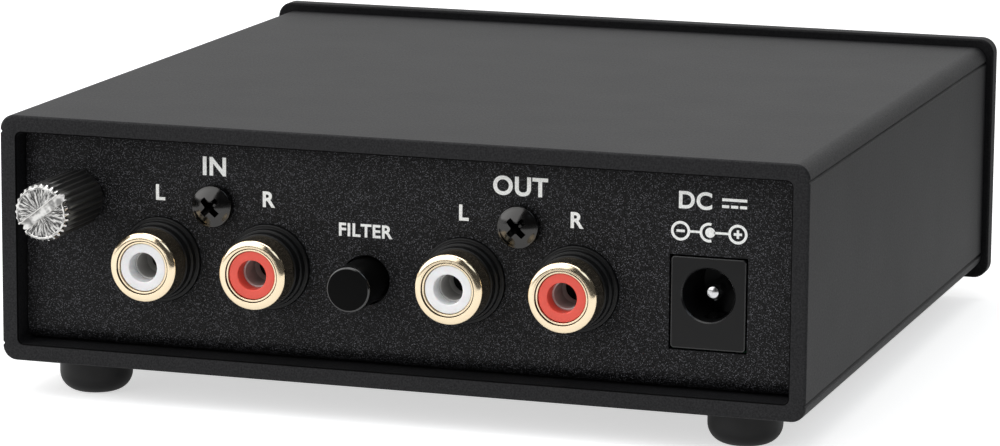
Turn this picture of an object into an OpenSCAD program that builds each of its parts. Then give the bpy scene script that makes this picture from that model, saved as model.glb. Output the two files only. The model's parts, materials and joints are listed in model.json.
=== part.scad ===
// Phono preamplifier in a sleeve casing, with two pairs of phono sockets, a filter button,
// a ground screw and a low-voltage inlet on its rear panel.
// Millimetres, +Z up. The front plate faces -Y and the sockets face +Y.
// The origin is on the floor, under the middle of the whole object.

/* [Casing] */
// Width of the sleeve casing
case_w = 101.2; // [98:0.1:125]
// Height of the sleeve casing
case_h = 30.4; // [29:0.1:45]
// Depth of the sleeve casing, front edge to rear edge
case_d = 97.3; // [94:0.1:140]
// Wall thickness of the casing
case_wall = 2.1; // [1.6:0.1:2.4]
// Outer corner radius of the casing
case_corner_r = 1.8; // [1:0.1:2.4]
// Inner corner radius of the casing
case_inner_r = 0.7; // [0.3:0.1:1.2]
// Chamfer on the casing's open edges
case_edge = 0.25; // [0.1:0.05:0.5]
// Width of the fine groove along each side
groove_w = 0.5; // [0.3:0.05:0.8]
// Depth of the fine groove
groove_t = 0.3; // [0.15:0.05:0.5]
// Distance of each groove from the casing's top or bottom
groove_inset = 2.05; // [2:0.05:5]

/* [Front plate] */
// Thickness of the front plate
plate_t = 2.7; // [2.4:0.1:5]
// How far the plate stands proud of each side of the casing
plate_side = 0.9; // [0.3:0.1:4]
// How far the plate stands above the casing
plate_rise = 1.1; // [0.3:0.1:4]
// How far the plate hangs below the casing
plate_drop = 1.3; // [0.3:0.1:3]
// Corner radius of the plate
plate_corner_r = 2; // [1:0.1:4]
// Chamfer around the plate's edges
plate_edge = 0.3; // [0.1:0.05:0.6]
// Diameter of the power indicator
led_d = 3; // [2:0.5:3]

/* [Feet] */
// Diameter of a rubber foot
foot_d = 9; // [8:0.5:14]
// Height of a rubber foot
foot_h = 4.6; // [4:0.1:9]
// Radius that rounds a foot's lower edge
foot_round = 2.4; // [1.5:0.1:3.5]
// Distance from the casing's side to a foot's middle
foot_side_inset = 9.15; // [8:0.05:20]
// Distance from the casing's end to a foot's middle
foot_end_inset = 7.7; // [7:0.1:12]

/* [Chassis] */
// Thickness of the folded steel sheet
sheet_t = 1; // [0.8:0.1:1.2]
// Inside radius of the chassis bends
bend_r = 1.2; // [0.8:0.1:2]
// How far the rear panel lies inside the casing's rear edge
panel_recess = 2.7; // [1:0.1:4]
// Gap between the chassis and each side of the casing
chassis_side_gap = 0.15; // [0.1:0.05:0.4]
// Gap between the chassis walls and the casing's roof
chassis_top_gap = 0.4; // [0.2:0.1:1]

/* [Circuit board] */
// Thickness of the circuit board
board_t = 1.6; // [1:0.1:2]
// Height of the standoffs under the board
standoff_h = 2.5; // [2.4:0.1:4]
// Gap between the board and each side of the casing
board_side_gap = 1.5; // [1:0.1:4]
// Gap between the front of the chassis and the board
board_front_gap = 8; // [7:0.1:12]

/* [Phono sockets] */
// Distance between the two sockets of a pair
socket_pitch = 14; // [13.5:0.1:18]
// Height of the socket axes above the board
socket_axis_h = 6.2; // [6:0.1:8]
// Outside diameter of a socket's metal shell
shell_d = 8.5; // [8:0.1:9]
// How far a shell stands out of the rear panel
shell_reach = 6.1; // [5:0.1:9]
// Diameter of the hole that takes the plug's pin
contact_bore_d = 3.2; // [3:0.1:3.4]
// Diameter of the black collar's wide rim
collar_d = 10.4; // [10:0.1:11]
// How far the wide rim stands out of the panel
collar_reach = 0.5; // [0.3:0.1:0.8]
// Diameter of the collar's middle step
collar_mid_d = 9.5; // [9.2:0.1:9.8]
// How far the middle step stands out of the panel
collar_mid_reach = 1.4; // [1:0.1:1.8]
// Diameter of the collar's narrow step
collar_nose_d = 8.9; // [8.9:0.1:9.1]
// How far the narrow step stands out of the panel
collar_nose_reach = 2.6; // [2:0.1:2.6]
// Distance from the casing's side to the middle of the input pair
input_inset = 26.9; // [26:0.1:30]
// Distance between the middles of the two pairs
pair_spacing = 38.65; // [38.4:0.05:40]
// Height of a pair's fixing screw above its sockets
socket_screw_rise = 7.05; // [6.5:0.05:8]
// Head diameter of a pair's fixing screw
socket_screw_head_d = 5.1; // [4.5:0.1:6]
// Head height of a pair's fixing screw
socket_screw_head_h = 1.9; // [1.5:0.1:2.4]

/* [Filter button] */
// Diameter of the filter button
button_d = 5.5; // [4.5:0.1:6]
// How far the button stands out of the panel
button_reach = 6.3; // [4:0.1:9]
// Travel of the button
button_travel = 2.5; // [1.5:0.1:3]
// Height of the button's axis above the board
button_axis_h = 5.4; // [5:0.1:6]
// Side of the square switch body
switch_side = 8.5; // [7.5:0.1:8.8]
// Length of the switch body
switch_len = 13; // [12:0.1:16]

/* [Power inlet] */
// Width of the inlet's body
inlet_w = 9.1; // [8.5:0.1:10]
// Height of the inlet's body
inlet_h = 11; // [10.6:0.1:12]
// Length of the inlet's body
inlet_len = 14.4; // [14:0.1:18]
// Height of the inlet's socket above the board
inlet_axis_h = 6.5; // [6.2:0.1:6.8]
// Diameter of the inlet's socket
inlet_bore_d = 6.3; // [6:0.1:6.5]
// Depth of the inlet's socket
inlet_bore_len = 9.6; // [8.5:0.1:10]
// Diameter of the inlet's centre pin
inlet_pin_d = 2.1; // [1.9:0.1:2.5]
// How far the centre pin's tip lies behind the panel
inlet_pin_recess = 1.9; // [0.5:0.1:3]
// How far the inlet lies from the middle of the space beside the output sockets
inlet_offset = 0.425; // [-0.5:0.025:0.5]

/* [Ground terminal] */
// Diameter of the knurled head
ground_head_d = 7; // [6.5:0.1:8]
// Length of the knurled head
ground_head_len = 11; // [6:0.1:14]
// Number of knurls round the head
knurl_count = 28; // [24:1:40]
// Depth of the knurls
knurl_depth = 0.35; // [0.15:0.05:0.4]
// Thread diameter of the ground screw
ground_thread_d = 4; // [3:0.5:4]
// Length of the threaded shank under the head
ground_shank_len = 7; // [6:0.1:9]
// Thickness of the captive washer
washer_t = 0.6; // [0.4:0.1:1]
// Distance from the casing's side to the screw's axis
ground_inset = 9.25; // [8:0.05:9.5]
// Height of the screw's axis above the casing's underside
ground_rise = 20.35; // [19:0.05:21]

/* [Hidden] */

$fn = 48;
cut = 0.01;             // overshoot of every cutting shape
fit_gap = 0.03;         // radial gap of pieces that are pressed or screwed together
nest_gap = 0.05;        // radial gap of sleeves that sit inside each other
running_gap = 0.05;     // gap beside a face that turns or slides

// Places along Y
ground_stack = washer_t + 2 * running_gap + ground_head_len;
total_d = plate_t + case_d - panel_recess + ground_stack;
front_y = -total_d / 2;
case_front_y = front_y + plate_t;
case_rear_y = case_front_y + case_d;
panel_y = case_rear_y - panel_recess;
board_rear_y = panel_y - sheet_t - 0.5;
board_front_y = case_front_y + sheet_t + board_front_gap;

// Places along Z
case_z = foot_h;
floor_z = case_z + case_wall;
tray_z = floor_z + sheet_t;
board_z = tray_z + standoff_h;
board_top = board_z + board_t;
roof_z = case_z + case_h - case_wall;
chassis_top = roof_z - chassis_top_gap;
socket_z = board_top + socket_axis_h;
button_z = board_top + button_axis_h;
inlet_z = board_top + inlet_axis_h;
ground_z = case_z + ground_rise;
plate_z = case_z - plate_drop;
plate_h = case_h + plate_rise + plate_drop;
led_z = plate_z + plate_h / 2;

// Places along X. Seen from behind, the inputs are on the left, towards +X.
case_side = case_w / 2;
input_x = case_side - input_inset;
output_x = input_x - pair_spacing;
button_x = (input_x + output_x) / 2;
ground_x = case_side - ground_inset;
chassis_w = case_w - 2 * (case_wall + chassis_side_gap);
board_w = case_w - 2 * (case_wall + board_side_gap);

// Machine screws
m3_r = 1.5;
m3_hole_r = 1.65;
m3_head_r = 2.75;
m3_head_h = 1.8;
csk_head_r = 2.9;
csk_head_h = 1.7;
casing_screw_len = 5;
nut_flange_r = 3.15;
nut_flange_h = 1.4;
nut_shank_r = 2.1;
casing_screw_x = case_side - 20.6;
casing_screw_ys = [case_front_y + 17, panel_y - 23];
standoff_r = 2.7;
standoff_x = case_side - 7.6;
standoff_ys = [board_front_y + 4, panel_y - 19];
plate_screw_len = 2.6;
plate_screw_x = case_side - 8;
plate_screw_zs = [tray_z + 6.5, chassis_top - 6];

// Socket parts
shell_r = shell_d / 2;
neck_r = shell_r - 0.25;
lip_w = 0.9;                    // width of the rolled lip on a shell's face
lip_inner_r = shell_r - lip_w;
shell_bore_r = lip_inner_r - 0.15;
flange_bore_r = shell_bore_r - 0.25;
flange_back = shell_reach - 1.25;
flange_front = shell_reach - 0.25;
lip_groove = 0.4;               // depth of the groove between the lip and the inner ring
insulator_r = shell_bore_r - nest_gap;
insulator_nose_r = flange_bore_r - nest_gap;
insulator_face = shell_reach - 0.3;
insulator_hole_r = contact_bore_d / 2 + 0.2;
contact_r = contact_bore_d / 2 + 0.4;
contact_front = insulator_face - 2;      // where the contact's tube begins inside the insulator
contact_back = -5.1;
contact_floor = 0.5;            // thickness of the wall that closes the contact's bore
contact_slot_w = 0.5;
contact_slot_front = -0.8;
neck_back = -4.4;
block_w = socket_pitch + 12.8;
block_len = 9;
block_rise = 6;                 // height of the block above the socket axes
boss_w = 7.4;
boss_rise = socket_screw_rise + 3.55;
pocket_w = 9.6;
pocket_rise = 4.4;
strip_w = 1.2;
strip_t = 0.4;
screw_core_r = 1.25;
socket_screw_len = 8;
recess_r = 1.45;
recess_wing = 0.7;
recess_depth = 1.2;

// Filter button and switch, measured from the panel's outer face
button_r = button_d / 2;
button_hole_r = button_r + 0.3;
stop_r = button_hole_r + 0.55;
stop_gap = 0.3;
stop_t = 1;
button_back = -sheet_t - stop_gap - stop_t - 0.5;
plunger_side = 2.9;
plunger_front = 1.4;
plunger_gap = 0.2;
switch_front = button_back - button_travel - 0.4;
switch_wall = 1.2;
cavity_front = switch_front - switch_wall;
cavity_back = switch_front - switch_len + switch_wall;
carriage_side = 4.6;
carriage_len = 3;
carriage_gap = 0.3;
carriage_front = cavity_front - carriage_gap;
carriage_back = carriage_front - carriage_len;
spring_r = 1.7;
spring_wire_r = 0.22;
spring_turns = 7;
pin_side = 0.6;

// Power inlet, measured from the panel's outer face
inlet_x = (output_x - block_w / 2 - case_side + case_wall) / 2 + inlet_offset;
inlet_gap = 0.2;
inlet_wall_back = -12;
inlet_pin_r = inlet_pin_d / 2;
inlet_root_r = inlet_pin_r - 0.2;   // the pin's thinner root in the body's rear wall
leaf_w = 1.8;
leaf_t = 0.25;
tab_w = 3;
tab_t = 0.5;

// Ground terminal, measured from the panel's outer face
ground_head_r = ground_head_d / 2;
ground_thread_r = ground_thread_d / 2;
washer_back = running_gap;
washer_r = ground_head_r - knurl_depth;    // flush with the roots of the knurls
head_back = washer_back + washer_t + running_gap;
head_front = head_back + ground_head_len;
head_chamfer = 0.4;
slot_w = 1.05;
slot_t = 1;
slot_turn = 38;
clinch_r = ground_thread_r + 0.7;
clinch_flange_r = ground_thread_r + 1.6;
clinch_flange_t = 2.4;

// Grid of the board: columns across it, rows from its front edge to the socket blocks
grid_columns = 47;
grid_rows = 37.8;
column = board_w / grid_columns;
row = (panel_y - sheet_t - block_len - board_front_y) / grid_rows;

// Component sizes on the board
can_small = [2.5, 11];          // radius and height
can_large = [4, 12.5];
film_size = [7.2, 3, 6.5];
chip_size = [9.6, 6.4, 3.3];
chip_lift = 0.5;
resistor_r = 1;
resistor_len = 5;
resistor_span = 8.4;
wire_r = 0.3;
transistor_r = 2.3;
transistor_lift = 2;
transistor_h = 4.8;
lead_pitch = 1.27;
diode_r = 1.35;
diode_len = 5.2;
diode_span = 9;
regulator_w = 10;
regulator_h = 15.4;             // height with its tab
regulator_body_h = 9;
regulator_body_t = 4.4;
regulator_tab_t = 1.3;
regulator_hole_r = 1.8;
regulator_top_gap = 1.3;        // gap below the level of the chassis walls
regulator_lift = chassis_top - board_top - regulator_top_gap - regulator_h;

// ---------- helpers ----------

// A rectangle about its own middle, with round corners
module rounded_rect(w, h, r) {
  square([w - 2 * r, h], center = true);
  square([w, h - 2 * r], center = true);
  for (sx = [-1, 1], sy = [-1, 1]) translate([sx * (w / 2 - r), sy * (h / 2 - r)]) circle(r);
}

// A profile in X and Z drawn out along Y, from y_back to y_front
module along_y(y_front, y_back) {
  translate([0, y_back, 0]) rotate([90, 0, 0]) linear_extrude(y_back - y_front) children();
}

// A profile in Y and Z drawn out along X, about X = 0
module along_x(w) {
  rotate([90, 0, 90]) linear_extrude(w, center = true) children();
}

// A rectangle with its four corners cut off
module chamfered_rect(w, h, c) {
  polygon([
    [-w / 2 + c, -h / 2], [w / 2 - c, -h / 2], [w / 2, -h / 2 + c], [w / 2, h / 2 - c],
    [w / 2 - c, h / 2], [-w / 2 + c, h / 2], [-w / 2, h / 2 - c], [-w / 2, -h / 2 + c]
  ]);
}

// A slab with round corners seen from the front and a chamfer round both faces
module edged_slab(w, d, h, r, c) {
  intersection() {
    along_y(-d / 2, d / 2) rounded_rect(w, h, r);
    along_x(w + 1) chamfered_rect(d, h, c);
    linear_extrude(h + 1, center = true) chamfered_rect(w, d, c);
  }
}

// Local frame of a rear fitting: +Z points out of the panel, +Y points down, z = 0 is the panel's outer face
module at_panel(x, z) {
  translate([x, panel_y, z]) rotate([-90, 0, 0]) children();
}

// A cylinder between two heights
module rod(r, z_low, z_high) {
  translate([0, 0, z_low]) cylinder(r = r, h = z_high - z_low);
}

// A tube between two heights
module tube(r_out, r_in, z_low, z_high) {
  difference() {
    rod(r_out, z_low, z_high);
    rod(r_in, z_low - cut, z_high + cut);
  }
}

// Section of a ring, for rotate_extrude
module ring_section(r_in, r_out, z_low, z_high) {
  translate([r_in, z_low]) square([r_out - r_in, z_high - z_low]);
}

// A square bar about the local axis
module bar(side, z_low, z_high) {
  translate([-side / 2, -side / 2, z_low]) cube([side, side, z_high - z_low]);
}

// A block from its lowest to its highest corner
module span(low, high) {
  translate(low) cube(high - low);
}

// Cross recess, cut downwards from z = 0
module cross_recess(r, wing, depth) {
  intersection() {
    translate([0, 0, -depth]) cylinder(r1 = wing * 0.6, r2 = r, h = depth + cut);
    for (turn = [45, 135]) rotate(turn) cube([2 * r, wing, 4 * depth], center = true);
  }
}

// Pan head standing on z = 0
module pan_head(r, h) {
  rim = 0.25 * h;
  dome_r = (r * r + (h - rim) * (h - rim)) / (2 * (h - rim));
  difference() {
    intersection() {
      cylinder(r = r, h = h + 1);
      translate([0, 0, h - dome_r]) sphere(dome_r, $fn = 96);
    }
    translate([0, 0, h]) cross_recess(0.55 * r, 0.3 * r, 0.62 * h);
  }
}

// Screw with a pan head on z = 0 and its shank below
module pan_screw(head_r, head_h, shank_r, len) {
  pan_head(head_r, head_h);
  rod(shank_r, -len, cut);
}

// ---------- casing and front ----------

module casing_outline() {
  translate([0, case_z + case_h / 2]) difference() {
    rounded_rect(case_w, case_h, case_corner_r);
    rounded_rect(case_w - 2 * case_wall, case_h - 2 * case_wall, case_inner_r);
    for (sx = [-1, 1], sz = [-1, 1])
      translate([sx * case_side, sz * (case_h / 2 - groove_inset)])
        polygon([[-sx * groove_t, 0], [sx * cut, groove_w / 2], [sx * cut, -groove_w / 2]]);
  }
}

module casing_screw_places() {
  for (sx = [-1, 1], y = casing_screw_ys) translate([sx * casing_screw_x, y, 0]) children();
}

module casing() {
  color([0.17, 0.17, 0.18]) difference() {
    intersection() {
      along_y(case_front_y, case_rear_y) casing_outline();
      translate([0, (case_front_y + case_rear_y) / 2, case_z + case_h / 2])
        edged_slab(case_w, case_d, case_h, case_corner_r, case_edge);
    }
    casing_screw_places() {
      rod(m3_hole_r, case_z, floor_z + cut);
      translate([0, 0, case_z - cut]) cylinder(r1 = csk_head_r + 0.1, r2 = m3_hole_r, h = csk_head_h);
    }
  }
}

module casing_screws() {
  color([0.2, 0.2, 0.21]) casing_screw_places() difference() {
    translate([0, 0, case_z]) union() {
      cylinder(r1 = csk_head_r, r2 = m3_r, h = csk_head_h);
      rod(m3_r, csk_head_h - cut, casing_screw_len);
    }
    translate([0, 0, case_z]) mirror([0, 0, 1]) cross_recess(1.6, 0.8, 1.1);
  }
}

module casing_nuts() {
  color([0.75, 0.75, 0.77]) casing_screw_places() difference() {
    union() {
      rod(nut_shank_r, floor_z, tray_z + cut);
      rod(nut_flange_r, tray_z, tray_z + nut_flange_h);
    }
    rod(m3_r + fit_gap, floor_z - cut, tray_z + nut_flange_h + cut);
  }
}

// A rubber foot with a flat sole and a round lower edge
module foot(sx, y) {
  color([0.06, 0.06, 0.06]) translate([sx * (case_side - foot_side_inset), y, 0]) rotate_extrude() {
    translate([0, foot_round]) square([foot_d / 2, foot_h - foot_round]);
    square([foot_d / 2 - foot_round, foot_round]);
    intersection() {
      translate([foot_d / 2 - foot_round, foot_round]) circle(foot_round);
      translate([foot_d / 2 - foot_round - cut, 0]) square([foot_round + cut, foot_round]);
    }
  }
}

module foot_rear_left() foot(1, case_rear_y - foot_end_inset);
module foot_rear_right() foot(-1, case_rear_y - foot_end_inset);
module foot_front_left() foot(1, case_front_y + foot_end_inset);
module foot_front_right() foot(-1, case_front_y + foot_end_inset);

module plate_screw_places() {
  for (sx = [-1, 1], z = plate_screw_zs)
    translate([sx * plate_screw_x, case_front_y + sheet_t, z]) rotate([-90, 0, 0]) children();
}

module front_panel() {
  color([0.12, 0.12, 0.125]) difference() {
    translate([0, front_y + plate_t / 2, plate_z + plate_h / 2])
      edged_slab(case_w + 2 * plate_side, plate_t, plate_h, plate_corner_r, plate_edge);
    plate_screw_places() rod(m3_r + fit_gap, -plate_screw_len - 0.2, 0);
    translate([0, front_y, led_z]) rotate([-90, 0, 0]) rod(led_d / 2 + nest_gap, -cut, plate_t + cut);
  }
}

module front_panel_screws() {
  color([0.75, 0.75, 0.77]) plate_screw_places() pan_screw(m3_head_r, m3_head_h, m3_r, plate_screw_len);
}

// ---------- chassis and board ----------

// Side view of the folded sheet: rear wall, floor and front wall
module chassis_profile() {
  outer_r = bend_r + sheet_t;
  mid_y = (case_front_y + panel_y) / 2;
  run = panel_y - case_front_y;
  rise = chassis_top - floor_z;
  intersection() {
    translate([mid_y, floor_z + rise]) difference() {
      rounded_rect(run, 2 * rise, outer_r);
      rounded_rect(run - 2 * sheet_t, 2 * (rise - sheet_t), bend_r);
    }
    translate([case_front_y - 1, floor_z - 1]) square([run + 2, rise + 1]);
  }
}

module board_post_places() {
  for (sx = [-1, 1], y = standoff_ys) translate([sx * standoff_x, y, 0]) children();
}

module socket_places(pair_x) {
  for (side = [-1, 1]) at_panel(pair_x + side * socket_pitch / 2, socket_z) children();
}

module chassis() {
  color([0.1, 0.1, 0.105]) difference() {
    intersection() {
      along_x(chassis_w) chassis_profile();
      translate([0, 0, (floor_z + chassis_top) / 2])
        along_y(case_front_y - cut, panel_y + cut)
          rounded_rect(chassis_w, chassis_top - floor_z, case_inner_r);
    }
    for (x = [input_x, output_x]) {
      socket_places(x) rod(collar_d / 2 + nest_gap, -sheet_t - cut, cut);
      at_panel(x, socket_z + socket_screw_rise) rod(1.7, -sheet_t - cut, cut);
    }
    at_panel(button_x, button_z) rod(button_hole_r, -sheet_t - cut, cut);
    at_panel(inlet_x, inlet_z)
      span([-inlet_w / 2 - inlet_gap, inlet_axis_h - inlet_h - inlet_gap, -sheet_t - cut],
           [inlet_w / 2 + inlet_gap, inlet_axis_h + inlet_gap, cut]);
    at_panel(ground_x, ground_z) rod(clinch_r + fit_gap, -sheet_t - cut, cut);
    casing_screw_places() rod(nut_shank_r + fit_gap, floor_z - cut, tray_z + cut);
    board_post_places() rod(nut_shank_r + fit_gap, floor_z - cut, tray_z + cut);
    plate_screw_places() rod(m3_hole_r, -sheet_t - cut, cut);
    translate([0, case_front_y, led_z]) rotate([-90, 0, 0]) rod(led_d / 2 + 0.3, -cut, sheet_t + cut);
  }
}

module board_standoffs() {
  color([0.75, 0.75, 0.77]) board_post_places() difference() {
    union() {
      rod(nut_shank_r, floor_z, tray_z + cut);
      rod(standoff_r, tray_z, board_z);
    }
    rod(m3_r + fit_gap, floor_z + 0.4, board_z + cut);
  }
}

module board_screws() {
  color([0.8, 0.8, 0.82]) board_post_places()
    translate([0, 0, board_top]) pan_screw(m3_head_r, m3_head_h, m3_r, board_t + 2.6);
}

module circuit_board() {
  color([0.05, 0.24, 0.13]) difference() {
    translate([-board_w / 2, board_front_y, board_z]) cube([board_w, board_rear_y - board_front_y, board_t]);
    board_post_places() rod(m3_hole_r, board_z - cut, board_top + cut);
  }
}

// ---------- phono sockets ----------

module jack_block(pair_x) {
  color([0.05, 0.05, 0.05]) difference() {
    union() {
      at_panel(pair_x, socket_z) {
        span([-block_w / 2, -block_rise, -sheet_t - block_len], [block_w / 2, socket_axis_h, -sheet_t]);
        span([-boss_w / 2, -boss_rise, -sheet_t - block_len], [boss_w / 2, 0, -sheet_t]);
      }
      socket_places(pair_x) {
        rod(collar_d / 2, -sheet_t - cut, collar_reach);
        rod(collar_mid_d / 2, 0, collar_mid_reach);
        rod(collar_nose_d / 2, 0, collar_nose_reach);
      }
    }
    socket_places(pair_x) {
      rod(neck_r + nest_gap, neck_back - cut, collar_nose_reach + cut);
      span([-pocket_w / 2, -pocket_rise, -sheet_t - block_len - cut],
           [pocket_w / 2, socket_axis_h + cut, neck_back]);
    }
    at_panel(pair_x, socket_z + socket_screw_rise)
      rod(screw_core_r + fit_gap, -socket_screw_len - 0.3, cut);
  }
}

// The metal shell: rolled lip, inner flange, neck and solder strip
module jack_shell(x) {
  color([0.83, 0.68, 0.38]) at_panel(x, socket_z) {
    rotate_extrude($fn = 64) {
      ring_section(lip_inner_r, shell_r, collar_nose_reach, shell_reach - lip_w / 2);
      translate([lip_inner_r + lip_w / 2, shell_reach - lip_w / 2]) circle(lip_w / 2, $fn = 32);
      ring_section(shell_bore_r, neck_r, neck_back - strip_t, collar_nose_reach + cut);
      ring_section(shell_bore_r, lip_inner_r + cut, collar_nose_reach, shell_reach - lip_w / 2 - lip_groove);
      ring_section(flange_bore_r, shell_bore_r, flange_back, flange_front);
      ring_section(flange_bore_r, lip_inner_r, flange_back, shell_reach - lip_w / 2 - lip_groove);
    }
    span([-strip_w / 2, shell_bore_r + 0.1, neck_back - strip_t], [strip_w / 2, socket_axis_h, neck_back]);
  }
}

module jack_insulator(x, tone) {
  color(tone) at_panel(x, socket_z) difference() {
    union() {
      rod(insulator_r, neck_back, flange_back - nest_gap);
      rod(insulator_nose_r, flange_back - 0.2, insulator_face);
    }
    rod(insulator_hole_r, contact_front - cut, insulator_face + cut);
    rod(contact_r + nest_gap, neck_back - cut, contact_front);
  }
}

// The centre contact: a tube for the plug's pin, slotted near its closed end, and a solder strip
module jack_contact(x) {
  slot_back = contact_back + 2 * contact_floor;
  color([0.8, 0.72, 0.5]) at_panel(x, socket_z) {
    difference() {
      rod(contact_r, contact_back, contact_front - nest_gap);
      rod(contact_bore_d / 2, contact_back + contact_floor, contact_front);
      for (turn = [0, 90]) rotate(turn)
        span([-contact_r - 1, -contact_slot_w / 2, slot_back],
             [contact_r + 1, contact_slot_w / 2, contact_slot_front]);
    }
    span([-strip_w / 2, 0, contact_back - strip_t], [strip_w / 2, socket_axis_h, contact_back]);
  }
}

module jack_screw(pair_x) {
  color([0.35, 0.34, 0.33]) at_panel(pair_x, socket_z + socket_screw_rise) difference() {
    union() {
      intersection() {
        cylinder(r = socket_screw_head_d / 2, h = socket_screw_head_h + 1);
        dome_rise = 0.76 * socket_screw_head_h;
        dome_r = (pow(socket_screw_head_d / 2, 2) + dome_rise * dome_rise) / (2 * dome_rise);
        translate([0, 0, socket_screw_head_h - dome_r]) sphere(dome_r, $fn = 96);
      }
      rod(screw_core_r, -socket_screw_len, cut);
    }
    translate([0, 0, socket_screw_head_h]) cross_recess(recess_r, recess_wing, recess_depth);
  }
}

left_tone = [0.93, 0.93, 0.92];
right_tone = [0.78, 0.14, 0.1];

module input_jack_block() jack_block(input_x);
module input_left_shell() jack_shell(input_x + socket_pitch / 2);
module input_left_insulator() jack_insulator(input_x + socket_pitch / 2, left_tone);
module input_left_contact() jack_contact(input_x + socket_pitch / 2);
module input_right_shell() jack_shell(input_x - socket_pitch / 2);
module input_right_insulator() jack_insulator(input_x - socket_pitch / 2, right_tone);
module input_right_contact() jack_contact(input_x - socket_pitch / 2);
module input_jack_screw() jack_screw(input_x);

module output_jack_block() jack_block(output_x);
module output_left_shell() jack_shell(output_x + socket_pitch / 2);
module output_left_insulator() jack_insulator(output_x + socket_pitch / 2, left_tone);
module output_left_contact() jack_contact(output_x + socket_pitch / 2);
module output_right_shell() jack_shell(output_x - socket_pitch / 2);
module output_right_insulator() jack_insulator(output_x - socket_pitch / 2, right_tone);
module output_right_contact() jack_contact(output_x - socket_pitch / 2);
module output_jack_screw() jack_screw(output_x);

// ---------- power inlet ----------

module power_inlet_body() {
  bore_r = inlet_bore_d / 2;
  leaf_slot = leaf_w / 2 + 0.2;
  color([0.06, 0.06, 0.06]) at_panel(inlet_x, inlet_z) difference() {
    span([-inlet_w / 2, inlet_axis_h - inlet_h, -inlet_len], [inlet_w / 2, inlet_axis_h, 0]);
    rod(bore_r, -inlet_bore_len, cut);
    translate([0, 0, -0.3]) cylinder(r1 = bore_r, r2 = bore_r + 0.31, h = 0.31);
    rod(inlet_root_r + fit_gap, inlet_wall_back - cut, 0);
    span([-tab_w / 2 - 0.3, -2, -inlet_len - cut], [tab_w / 2 + 0.3, inlet_axis_h + cut, inlet_wall_back]);
    span([-leaf_slot, bore_r - 0.6, -inlet_bore_len], [leaf_slot, bore_r + 1.3, -2]);
    span([-leaf_slot, bore_r, -inlet_bore_len], [leaf_slot, inlet_axis_h + cut, -inlet_bore_len + 1]);
  }
}

module power_inlet_pin() {
  tip = 0.5;
  color([0.82, 0.82, 0.84]) at_panel(inlet_x, inlet_z) {
    rod(inlet_root_r, inlet_wall_back - cut, -inlet_bore_len + cut);
    rod(inlet_pin_r, -inlet_bore_len, -inlet_pin_recess - tip);
    translate([0, 0, -inlet_pin_recess - tip - cut])
      cylinder(r1 = inlet_pin_r, r2 = inlet_pin_r - 0.35, h = tip + cut);
    span([-tab_w / 2, -inlet_pin_r, inlet_wall_back - tab_t], [tab_w / 2, inlet_axis_h, inlet_wall_back]);
  }
}

// The leaf that grips the plug's sleeve, with its tab down to the board
module power_inlet_spring() {
  bore_r = inlet_bore_d / 2;
  heel = -inlet_bore_len + 0.3;
  color([0.82, 0.82, 0.84]) at_panel(inlet_x, inlet_z) {
    rotate([0, 90, 0]) linear_extrude(leaf_w, center = true)
      polygon([
        [-heel, bore_r + 1], [-heel, bore_r + 1 - leaf_t], [4.2, bore_r - 0.35], [2.6, bore_r + 0.25],
        [2.6, bore_r + 0.25 + leaf_t], [4.2, bore_r - 0.35 + leaf_t]
      ]);
    span([-leaf_w / 2, bore_r + 0.7, heel - cut], [leaf_w / 2, inlet_axis_h, heel + tab_t]);
  }
}

// ---------- filter button and switch ----------

module filter_button() {
  bevel = 0.35;
  color([0.04, 0.04, 0.04]) at_panel(button_x, button_z) difference() {
    union() {
      rod(button_r, button_back, button_reach - bevel);
      translate([0, 0, button_reach - bevel - cut])
        cylinder(r1 = button_r, r2 = button_r - bevel, h = bevel + cut);
      rod(stop_r, -sheet_t - stop_gap - stop_t, -sheet_t - stop_gap);
    }
    bar(plunger_side + 2 * fit_gap, button_back - cut, plunger_front + 0.1);
  }
}

module filter_switch_plunger() {
  color([0.85, 0.84, 0.8]) at_panel(button_x, button_z) {
    bar(plunger_side, carriage_front - cut, plunger_front);
    bar(carriage_side, carriage_back, carriage_front);
    rod(spring_r - spring_wire_r - 0.25, carriage_back - 1.5, carriage_back + cut);
  }
}

module filter_switch_body() {
  color([0.1, 0.1, 0.11]) at_panel(button_x, button_z) difference() {
    bar(switch_side, switch_front - switch_len, switch_front);
    bar(plunger_side + 2 * plunger_gap, cavity_front - cut, switch_front + cut);
    bar(carriage_side + 2 * plunger_gap, cavity_back, cavity_front);
  }
}

module filter_switch_pins() {
  color([0.8, 0.8, 0.82]) at_panel(button_x, button_z)
    for (sx = [-1, 1], step = [-1, 0, 1])
      translate([sx * 2.5, (switch_side / 2 + button_axis_h) / 2, switch_front - switch_len / 2 + 4 * step])
        cube([pin_side, button_axis_h - switch_side / 2, pin_side], center = true);
}

// Points of one ring of the spring's wire
function spring_ring(turn, height, sides) = [
  for (k = [0 : sides - 1])
    let (a = 360 * k / sides, r = spring_r + spring_wire_r * cos(a))
      [r * cos(turn), r * sin(turn), height + spring_wire_r * sin(a)]
];

module filter_switch_spring() {
  sides = 6;
  steps = spring_turns * 14;
  low = cavity_back + spring_wire_r + 0.02;
  high = carriage_back - spring_wire_r - 0.02;
  points = [
    for (i = [0 : steps])
      each spring_ring(360 * spring_turns * i / steps, low + (high - low) * i / steps, sides)
  ];
  side_faces = [
    for (i = [0 : steps - 1], k = [0 : sides - 1])
      let (n = (k + 1) % sides)
        [i * sides + k, (i + 1) * sides + k, (i + 1) * sides + n, i * sides + n]
  ];
  caps = [[for (k = [0 : sides - 1]) k], [for (k = [sides - 1 : -1 : 0]) steps * sides + k]];
  color([0.8, 0.8, 0.82]) at_panel(button_x, button_z) polyhedron(points, concat(side_faces, caps));
}

// ---------- ground terminal ----------

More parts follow.
